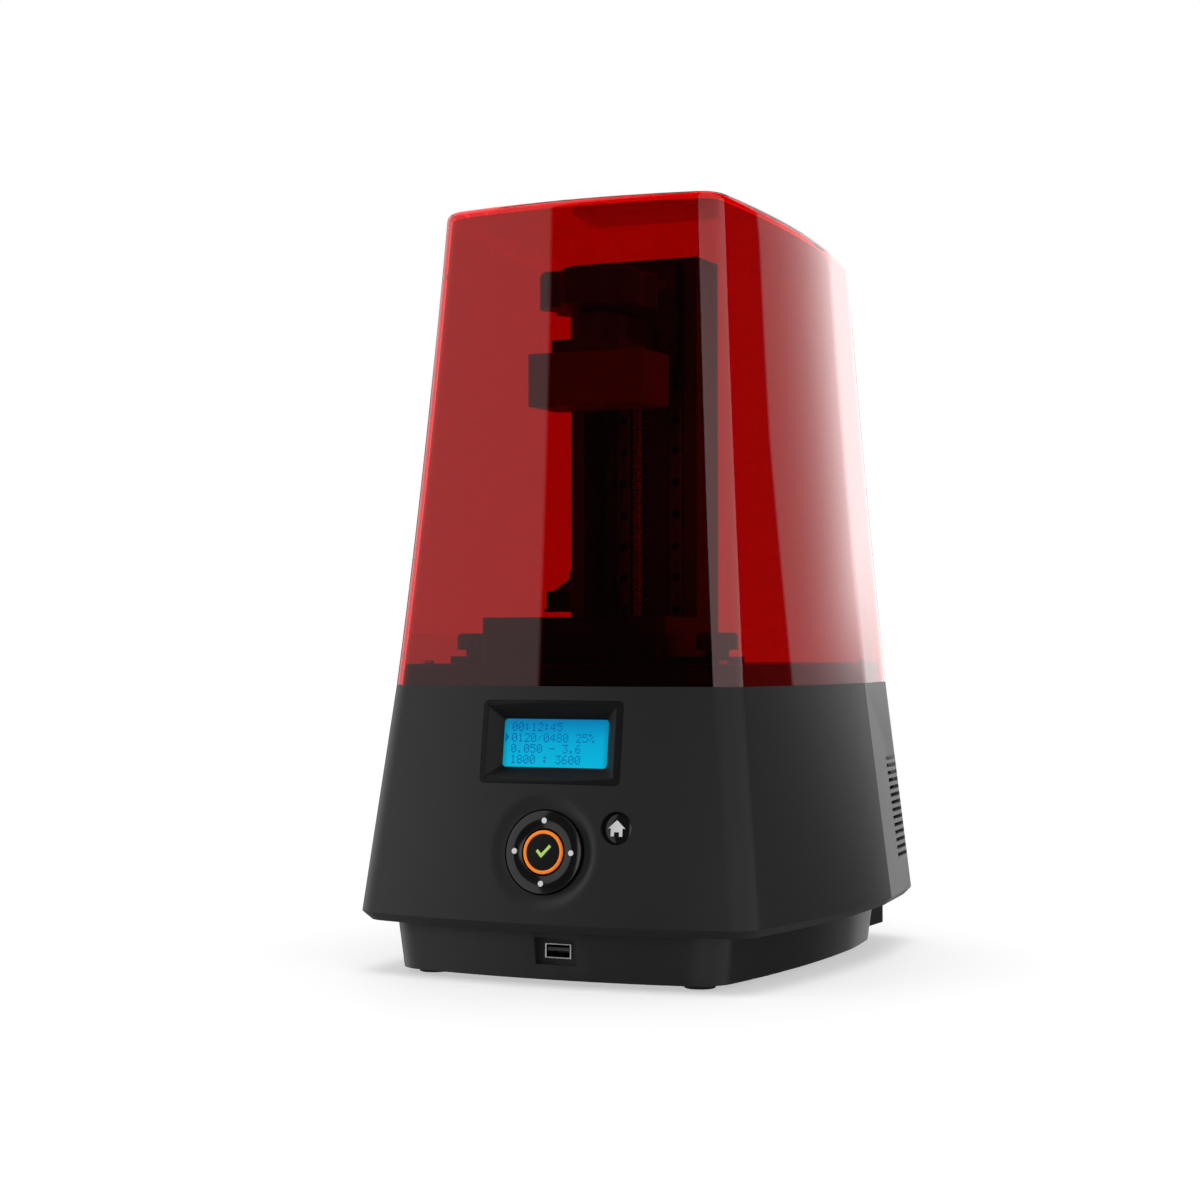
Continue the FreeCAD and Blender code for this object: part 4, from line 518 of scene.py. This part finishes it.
def makeFrontShell():
    bm = bmesh.new()
    skirt = housing["halfSkirt"], housing["frontSkirt"]
    seam = housing["halfSeam"], housing["frontSeam"]
    low = planLoop(bm, housing["skirtZ"] - housing["chamfer"], skirt[0] - housing["chamfer"],
                   skirt[1] - housing["chamfer"], housing["back"], whole=False)
    edge = planLoop(bm, housing["skirtZ"], *skirt, housing["back"], whole=False)
    top = planLoop(bm, housing["seamZ"], *seam, housing["back"], whole=False)
    lip = planLoop(bm, housing["seamZ"], *seam, housing["back"], trim=housing["rim"], whole=False)
    for first, second in ((low, edge), (edge, top), (top, lip)):
        bmesh.ops.bridge_loops(bm, edges=first + second)
    tall = [e for e in bm.edges if abs(e.verts[0].co.z - e.verts[1].co.z) > housing["chamfer"] * 2]
    bmesh.ops.subdivide_edges(bm, edges=tall, cuts=shell["rows"])
    pressDish(bm)
    bmesh.ops.recalc_face_normals(bm, faces=bm.faces)
    if sum(face.normal.y * face.calc_area() for face in bm.faces if abs(face.normal.y) > 0.9) > 0:
        bmesh.ops.reverse_faces(bm, faces=bm.faces)  # the front looks to -Y
    bmesh.ops.solidify(bm, geom=bm.faces[:], thickness=housing["wall"])
    cutters = [moved(cylinder(place["hole"], shell["cutDepth"], roundSteps), onPanel(place["x"], place["rise"]))
               for place in (dial, homeKey)]
    pane = bmesh.new()
    bmesh.ops.create_cube(pane, size=1)
    bmesh.ops.scale(pane, vec=(window["wide"], window["tall"], shell["cutDepth"]), verts=pane.verts)
    deep = [e for e in pane.edges if abs(e.verts[0].co.z - e.verts[1].co.z) > shell["cutDepth"] / 2]
    bmesh.ops.bevel(pane, geom=deep, offset=window["corner"], offset_type="OFFSET", segments=window["cornerSteps"],
                    profile=0.5, affect="EDGES", material=-1)
    cutters.append(moved(pane, onPanel(window["x"], window["rise"])))
    piece = newPiece("frontShell", carved(bm, cutters), shellBlack, "front_shell", smooth=shell["smooth"])
    breakEdges(piece, shell["edge"], shell["edgeAngle"])


makeFrontShell()
print("front shell done")

# Hood: sections from foot to shoulder, a rounded shoulder and a falling roof
hood = {"height": 0.288, "wall": 0.003, "waist": 0.0012, "topHalf": 0.099, "topFront": 0.121, "topBack": 0.158,
        "fall": 0.046, "shoulder": 0.005, "rows": 18, "roundRows": 7, "roofLand": 0.002, "roofExtra": 0.001,
        "smooth": 40}


def makeHood():
    bm = bmesh.new()
    foot = housing["seamZ"]
    topZ = foot + hood["height"] - hood["fall"] * hood["topFront"]
    shoulderZ = topZ - hood["shoulder"]
    feet = Vector((housing["halfSeam"], housing["frontSeam"], housing["back"]))
    heads = Vector((hood["topHalf"], hood["topFront"], hood["topBack"]))
    waist = (feet + heads) / 2 - Vector((hood["waist"], hood["waist"], 0))
    loops = []
    for row in range(hood["rows"] + 1):
        # a parabola through foot, waist and head
        rise = row / hood["rows"]
        low, middle, high = (1 - rise) * (1 - 2 * rise), 4 * rise * (1 - rise), rise * (2 * rise - 1)
        half, front, back = feet * low + waist * middle + heads * high
        loops.append(planLoop(bm, foot + (shoulderZ - foot) * rise, half, front, back, fall=hood["fall"] * high))
    for row in range(1, hood["roundRows"] + 1):
        turn = math.pi / 2 * row / hood["roundRows"]
        loops.append(planLoop(bm, shoulderZ + hood["shoulder"] * math.sin(turn), *heads,
                              trim=hood["shoulder"] * (1 - math.cos(turn)), fall=hood["fall"]))
    for first, second in zip(loops, loops[1:]):
        bmesh.ops.bridge_loops(bm, edges=first + second)
    bmesh.ops.edgeloop_fill(bm, edges=loops[-1])
    bmesh.ops.recalc_face_normals(bm, faces=bm.faces)
    roof = max(bm.faces, key=lambda face: face.calc_area())
    if roof.normal.z < 0:
        bmesh.ops.reverse_faces(bm, faces=bm.faces)
    bmesh.ops.inset_individual(bm, faces=[roof], thickness=hood["roofLand"])
    outside = set(bm.verts)
    bmesh.ops.solidify(bm, geom=bm.faces[:], thickness=hood["wall"])
    skins = outside, [vert for vert in bm.verts if vert not in outside]
    for vert in min(skins, key=lambda skin: max(vert.co.z for vert in skin)):
        # the roof is thicker than the walls, on the inside
        if vert.co.z + hood["fall"] * vert.co.y > shoulderZ - hood["roofExtra"] / 2:
            vert.co.z -= hood["roofExtra"]
    newPiece("hoodShell", bm, hoodRed, "hood", smooth=hood["smooth"])


makeHood()
print("hood done")

# Keypad: humped direction pad with four dots, lit ring, confirm key with a tick, home key with a house
pad = {"outer": 0.0238, "inner": 0.0136, "crown": 0.0184, "top": -0.0006, "edge": -0.0016, "back": -0.0064,
       "rounding": 0.0004, "crownRounding": 0.0008, "dot": 0.00175, "dotRadius": 0.018, "dotTaper": 0.9,
       "dotDepth": 0.0008, "dotSunk": 0.0002, "dotSteps": 32}
key = {"radius": 0.0125, "ring": 0.002, "top": -0.0012, "lip": 0.0012, "back": -0.0052, "stem": 0.004,
       "stemEnd": -0.0108, "dip": 0.0003, "rounding": 0.0002, "ringOuter": 0.0002, "ringInner": 0.0001,
       "ringRounding": 0.00015, "markThick": 0.00015, "markSunk": 0.00025}
tickOutline = [(-0.0046, 0.0004), (-0.0034, 0.0016), (-0.0011, -0.0008), (0.0038, 0.0044), (0.005, 0.0032),
               (-0.0011, -0.0033)]
houseOutline = [(-0.0053, 0.0), (0, 0.0047), (0.0053, 0.0), (0.0036, 0.0), (0.0036, -0.0045), (0.0016, -0.0045),
                (0.0016, -0.0021), (-0.0016, -0.0021), (-0.0016, -0.0045), (-0.0036, -0.0045), (-0.0036, 0.0)]


def makePad():
    ring = turnedShape([(pad["inner"], pad["back"]), (pad["inner"], pad["edge"]), (pad["crown"], pad["top"]),
                        (pad["outer"], pad["edge"]), (pad["outer"], pad["back"]), (pad["inner"], pad["back"])],
                       roundSteps, pad["rounding"], crown=2, crownRounding=pad["crownRounding"])
    newPiece("directionPad", moved(ring, onPanel(dial["x"], dial["rise"])), glossBlack, "dpad_ring")
    dots = []
    for i in range(4):
        turn = math.pi / 2 * i
        spot = Matrix.Translation((pad["dotRadius"] * math.cos(turn), pad["dotRadius"] * math.sin(turn),
                                   pad["top"] - pad["dotSunk"]))
        dot = cylinder(pad["dot"], pad["dotDepth"], pad["dotSteps"], pad["dotTaper"])
        dots.append(moved(dot, onPanel(dial["x"], dial["rise"]) @ spot))
    newPiece("padDots", joined(dots), markWhite, "dpad_ring", replace=False)


def makeConfirmKey():
    inner, top = key["radius"] - key["ring"], key["top"]
    seat = top - key["lip"]
    cap = turnedShape([(0, key["stemEnd"]), (key["stem"], key["stemEnd"]), (key["stem"], key["back"]),
                       (key["radius"], key["back"]), (key["radius"], seat), (inner, seat), (inner, top),
                       (0, top - key["dip"])], roundSteps, key["rounding"])
    newPiece("confirmKey", moved(cap, onPanel(dial["x"], dial["rise"])), holeBlack, "ok_button")
    glow = turnedShape([(inner, seat), (key["radius"], seat), (key["radius"], top - key["ringOuter"]),
                        (inner + key["ring"] / 2, top), (inner, top - key["ringInner"]), (inner, seat)],
                       roundSteps, key["ringRounding"])
    newPiece("keyRing", moved(glow, onPanel(dial["x"], dial["rise"])), ringOrange, "ok_light_ring")
    tick = moved(flatMark(tickOutline, key["markThick"]), onPanel(dial["x"], dial["rise"], top - key["markSunk"]))
    newPiece("confirmTick", tick, tickGreen, "ok_button", replace=False)


def makeHomeKey():
    crown, radius = -homeKey["set"], homeKey["radius"]
    back = crown - homeKey["thick"]
    cap = turnedShape([(0, key["stemEnd"]), (key["stem"], key["stemEnd"]), (key["stem"], back), (radius, back),
                       (radius, crown - homeKey["edge"]),
                       (radius * homeKey["domeShare"], crown - homeKey["dome"]), (0, crown)],
                      roundSteps, homeKey["rounding"])
    newPiece("homeKey", moved(cap, onPanel(homeKey["x"], homeKey["rise"])), glossBlack, "home_button")
    house = moved(flatMark(houseOutline, homeKey["markThick"]),
                  onPanel(homeKey["x"], homeKey["rise"], crown - homeKey["markSunk"]))
    newPiece("homeMark", house, markWhite, "home_button", replace=False)


makePad()
makeConfirmKey()
makeHomeKey()
print("keypad done")

# Dot-matrix rows on the display, a glyph's rows as pairs of hex digits
cell = {"pitchX": 0.00415, "pitchY": 0.0063, "dot": 0.00062, "stepX": 0.00069, "stepY": 0.00072, "left": -0.0325,
        "top": 0.0116, "depth": -0.00842, "wide": 5, "tall": 7}
glyphs = {"0": "0e11131519110e", "1": "040c040404040e", "2": "0e11010204081f", "3": "1f02040201110e",
          "4": "02060a121f0202", "5": "1f101e0101110e", "6": "0608101e11110e", "8": "0e11110e11110e",
          ":": "000c0c000c0c00", ">": "10181c1e1c1810", "/": "00010204081000", "-": "0000001f000000",
          ".": "00000000000c0c", "%": "18190204081303"}
textRows = [" 00:12:45", ">0120/0480 25%", " 0.050 - 3.6", " 1800 : 3600"]


def makeCharacters():
    bm = bmesh.new()
    for line, text in enumerate(textRows):
        for column, letter in enumerate(text):
            if letter == " ":
                continue
            for row in range(cell["tall"]):
                bits = int(glyphs[letter][row * 2:row * 2 + 2], 16)
                for bit in range(cell["wide"]):
                    if bits >> (cell["wide"] - 1 - bit) & 1:
                        x = cell["left"] + column * cell["pitchX"] + bit * cell["stepX"]
                        y = cell["top"] - line * cell["pitchY"] - row * cell["stepY"]
                        spot = onPanel(window["x"] + x, window["rise"] + y, cell["depth"])
                        bmesh.ops.create_grid(bm, x_segments=1, y_segments=1, size=cell["dot"] / 2, matrix=spot)
    newPiece("displayCharacters", bm, dotBlue, "display_screen", replace=False)


makeCharacters()
print("display done")

# Lead screw with a thread, its profile given in shares of the lead
screw = {"root": 0.0034, "crest": 0.004, "lead": 0.004, "turnSteps": 20, "rootEnd": 0.3, "crestStart": 0.45,
         "crestEnd": 0.8, "coreExtra": 0.0001, "coreSteps": 24, "smooth": 25}


def makeScrew():
    low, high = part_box("lead_screw")
    length = high.z - low.z
    root, crest, lead = screw["root"], screw["crest"], screw["lead"]
    turns = int(length / lead) - 1
    bm = bmesh.new()
    profileLine(bm, [(root, 0.0), (root, lead * screw["rootEnd"]), (crest, lead * screw["crestStart"]),
                     (crest, lead * screw["crestEnd"]), (root, lead)])
    bmesh.ops.spin(bm, geom=bm.verts[:] + bm.edges[:], cent=(0, 0, 0), axis=(0, 0, 1),
                   dvec=(0, 0, lead / screw["turnSteps"]), angle=math.tau * turns,
                   steps=screw["turnSteps"] * turns)
    bmesh.ops.remove_doubles(bm, verts=bm.verts, dist=1e-6)
    bmesh.ops.recalc_face_normals(bm, faces=bm.faces)
    coreRadius = root + screw["coreExtra"]
    core = turnedShape([(0, 0), (coreRadius, 0), (coreRadius, length), (0, length)], screw["coreSteps"])
    middle = (low + high) / 2
    whole = moved(joined([bm, core]), Matrix.Translation((middle.x, middle.y, low.z)))
    newPiece("threadedScrew", whole, darkSteel, "lead_screw", smooth=screw["smooth"])


makeScrew()
print("lead screw done")

# CAD shapes kept as they are, with their sharp edges broken by the width given
broken = {"rear_cover": 0.0005, "base_plinth": 0.001, "skirt_plate": 0.0004, "display_bezel": 0.0004,
          "top_deck": 0.0012, "z_column": 0.0006, "column_cap": 0.0008, "carriage": 0.0008, "platform_arm": 0.0008,
          "platform_clamp": 0.0008, "build_platform": 0.0007, "resin_tank": 0.0008, "limit_bracket": 0.0003,
          "limit_switch": 0.0004, "usb_port": 0.0002, "power_inlet": 0.0006, "power_switch": 0.0004,
          "switch_rocker": 0.0004, "fan_frame": 0.0005, "fan_rotor": 0.0003, "rubber_feet": 0.0006,
          "rail_blocks": 0.0006, "linear_rails": 0.0003, "tank_knob_left": 0.0004, "tank_knob_right": 0.0004,
          "platform_knob": 0.0006, "deck_screws": 0.0006, "carriage_screws": 0.0005, "cover_screws": 0.0005}
sharpAngle = 35
flatAngle = 0.4


def softened(node, width):
    words = node.split("_")
    name = words[0] + "".join(word.title() for word in words[1:]) + "Finished"
    bm = bmesh.new()
    bm.from_mesh(frame["nodes"][node].data)
    bmesh.ops.remove_doubles(bm, verts=bm.verts, dist=1e-6)
    bmesh.ops.dissolve_limit(bm, angle_limit=math.radians(flatAngle), verts=bm.verts, edges=bm.edges)
    breakEdges(newPiece(name, bm, finishOf[node], node, smooth=sharpAngle), width, sharpAngle)


for node, width in broken.items():
    softened(node, width)
print("edges broken on", len(broken), "pieces")

# Studio: what the mirror rays see is drawn on the world, the lamps give the rest
studio = {"ambient": 0.62, "dark": 0.015, "below": 0.15, "belowRise": (-30, -10), "behind": (-0.1, 0.1),
          "fillLow": 0.25, "fillHigh": 0.55, "fillSide": (0.8, -0.8), "levelRise": 11, "leanLow": -2,
          "leanHigh": 12}
boards = {
    # low and high edges in degrees to the right from the front, the lean of an edge per degree of rise, the
    # softness of an edge, and radiance; a pair is where a change over turn or rise begins and ends
    "left": {"low": 236, "high": 330.9, "lean": 0.24, "soft": 1.0, "level": 0.74, "extra": 0.5,
             "extraTurn": (250, 305), "foot": (-42, -30), "head": (62, 72)},
    "right": {"low": 4, "high": 120, "lean": 1.5, "soft": 1.5, "level": 1.45},
    "back": {"low": 150.6, "lean": -0.3, "soft": 0.8, "level": 0.48, "growth": 0.0045, "full": 170,
             "fade": (182, 198), "lowRise": (0, 5), "lowTurn": (168, 184), "foot": (-18, -10)},
    "sides": {"foot": (-35, -25), "head": (17, 24), "headDim": 0.5},
    "sky": {"start": (184, 190), "end": (228, 240), "foot": (7.5, 9.5), "level": 0.75},
}


def makeWorld():
    world = bpy.data.worlds.new("studio")
    scene.world = world
    world.use_nodes = True
    graph = Graph(world.node_tree)
    camera, glossy, passing = (graph.node("ShaderNodeLightPath", out="Is %s Ray" % name)
                               for name in ("Camera", "Glossy", "Transmission"))
    scattered = graph.node("ShaderNodeLightPath", out="Diffuse Depth")
    matte = graph.node("ShaderNodeMath", {"operation": "MINIMUM"}, {0: scattered, 1: 1})
    direction = graph.node("ShaderNodeTexCoord", out="Generated")
    x, y, z = (graph.node("ShaderNodeSeparateXYZ", {}, {0: direction}, out=i) for i in range(3))
    azimuth = graph.node("ShaderNodeMath", {"operation": "ARCTAN2"}, {0: x, 1: y * -1}) * math.degrees(1) + 360
    turn = graph.node("ShaderNodeMath", {"operation": "MODULO"}, {0: azimuth, 1: 360})
    rise = graph.node("ShaderNodeMath", {"operation": "ARCSINE"}, {0: z}) * math.degrees(1)
    lift = graph.node("ShaderNodeClamp", {}, {"Value": rise - studio["levelRise"], "Min": studio["leanLow"],
                                              "Max": studio["leanHigh"]})

    def after(value, span):
        return graph.step(value, *span)

    def until(value, span):
        return 1 - graph.step(value, *span)

    def begun(board):
        return graph.step(turn, board["low"], board["low"] + board["soft"])

    def past(board, edge):
        # 1 to the right of a board's leaning edge
        return graph.step(turn + lift * board["lean"], board[edge], board[edge] + board["soft"])

    left, right, back, sides, sky = (boards[name] for name in ("left", "right", "back", "sides", "sky"))
    leftGlow = begun(left) * (1 - past(left, "high"))
    leftGlow = leftGlow * (until(turn, left["extraTurn"]) * left["extra"] + left["level"])
    leftGlow = leftGlow * after(rise, left["foot"]) * until(rise, left["head"])
    rightGlow = begun(right) * (1 - past(right, "high")) * right["level"]
    beyond = graph.node("ShaderNodeMath", {"operation": "MINIMUM"}, {0: turn, 1: back["full"]}) - back["low"]
    backGlow = past(back, "low") * until(turn, back["fade"])
    backGlow = backGlow * (beyond * beyond * back["growth"] + back["level"])
    backGlow = backGlow * (1 - until(rise, back["lowRise"]) * until(turn, back["lowTurn"]))
    backGlow = backGlow * after(rise, back["foot"])
    sideGlow = (rightGlow + backGlow) * (1 - after(rise, sides["head"]) * sides["headDim"])
    sideGlow = sideGlow * after(rise, sides["foot"])
    skyGlow = after(turn, sky["start"]) * until(turn, sky["end"]) * after(rise, sky["foot"]) * sky["level"]
    mirror = leftGlow + sideGlow + skyGlow + studio["dark"]
    mirror = mirror + until(rise, studio["belowRise"]) * studio["below"]
    behind = after(y, studio["behind"])
    through = behind + (1 - behind) * mirror
    fill = after(x + y, studio["fillSide"]) * (studio["fillHigh"] - studio["fillLow"]) + studio["fillLow"]
    through = matte * fill + (1 - matte) * through
    bounced = glossy * mirror + (1 - glossy) * studio["ambient"]
    bounced = passing * through + (1 - passing) * bounced
    background = world.node_tree.nodes["Background"]
    graph.feed(background.inputs["Strength"], camera + (1 - camera) * bounced)
    graph.feed(background.inputs["Color"], (1, 1, 1, 1))


lamps = {
    # azimuth from the front, elevation, distance, width, height and radiance
    "keyLeft": (-80, 9, 2.0, 1.2, 0.9, 26.0),
    "overhead": (0, 90, 2.4, 2.4, 2.4, 3.2),
}
lampFocus = Vector((0, 0, 0.22))


def makeLamps(floor):
    for name, (azimuth, elevation, distance, wide, tall, radiance) in lamps.items():
        lamp = bpy.data.lights.new(name, "AREA")
        lamp.shape = "RECTANGLE"
        lamp.size, lamp.size_y = wide, tall
        lamp.energy = radiance * wide * tall * math.pi
        box = bpy.data.objects.new(name, lamp)
        turn, lift = math.radians(azimuth), math.radians(elevation)
        away = Vector((math.sin(turn) * math.cos(lift), -math.cos(turn) * math.cos(lift), math.sin(lift)))
        box.location = lampFocus + away * distance
        box.rotation_euler = away.to_track_quat("Z", "Y").to_euler()
        box.visible_camera = box.visible_glossy = box.visible_transmission = False
        scene.collection.objects.link(box)
        if name == "keyLeft":
            # the side light leaves the floor alone
            spared = bpy.data.collections.new("spared")
            spared.objects.link(floor)
            box.light_linking.receiver_collection = spared
            spared.collection_objects[0].light_linking.link_state = "EXCLUDE"


floorLook = {"half": 6.0, "colour": (0.97, 0.97, 0.97, 1), "rough": 0.5, "specular": 0.2, "weight": 0.5,
             "fadeFrom": 0.45, "fadeTo": 0.9}


def makeFloor():
    # pale floor that fades into the white round it
    bm = bmesh.new()
    bmesh.ops.create_grid(bm, x_segments=1, y_segments=1, size=floorLook["half"])
    floor = asObject("floor", bm)
    floor.visible_glossy = False
    finish = Finish("floorWhite", Base_Color=floorLook["colour"], Roughness=floorLook["rough"],
                    Specular_IOR_Level=floorLook["specular"])
    away = finish.node("ShaderNodeVectorMath", {"operation": "LENGTH"}, {0: finish.place()}, out=1)
    clear = finish.node("ShaderNodeBsdfTransparent")
    fade = 1 - (1 - finish.step(away, floorLook["fadeFrom"], floorLook["fadeTo"])) * floorLook["weight"]
    blend = finish.node("ShaderNodeMixShader", {}, {0: fade, 1: Field(finish, finish.shader.outputs[0]), 2: clear})
    finish.feed(finish.tree.nodes["Material Output"].inputs["Surface"], blend)
    floor.data.materials.append(finish.material)
    return floor


view = {"place": (0.61976, -1.39631, 0.19210), "tilt": 91.179, "turn": 25.19, "lens": 72.33, "sensor": 36}


def makeCamera():
    eye = bpy.data.cameras.new("photoView")
    eye.sensor_width = view["sensor"]
    eye.lens = view["lens"]
    holder = bpy.data.objects.new("photoView", eye)
    holder.location = view["place"]
    holder.rotation_euler = (math.radians(view["tilt"]), 0, math.radians(view["turn"]))
    scene.collection.objects.link(holder)
    scene.camera = holder


makeWorld()
makeLamps(makeFloor())
makeCamera()
print("studio ready")
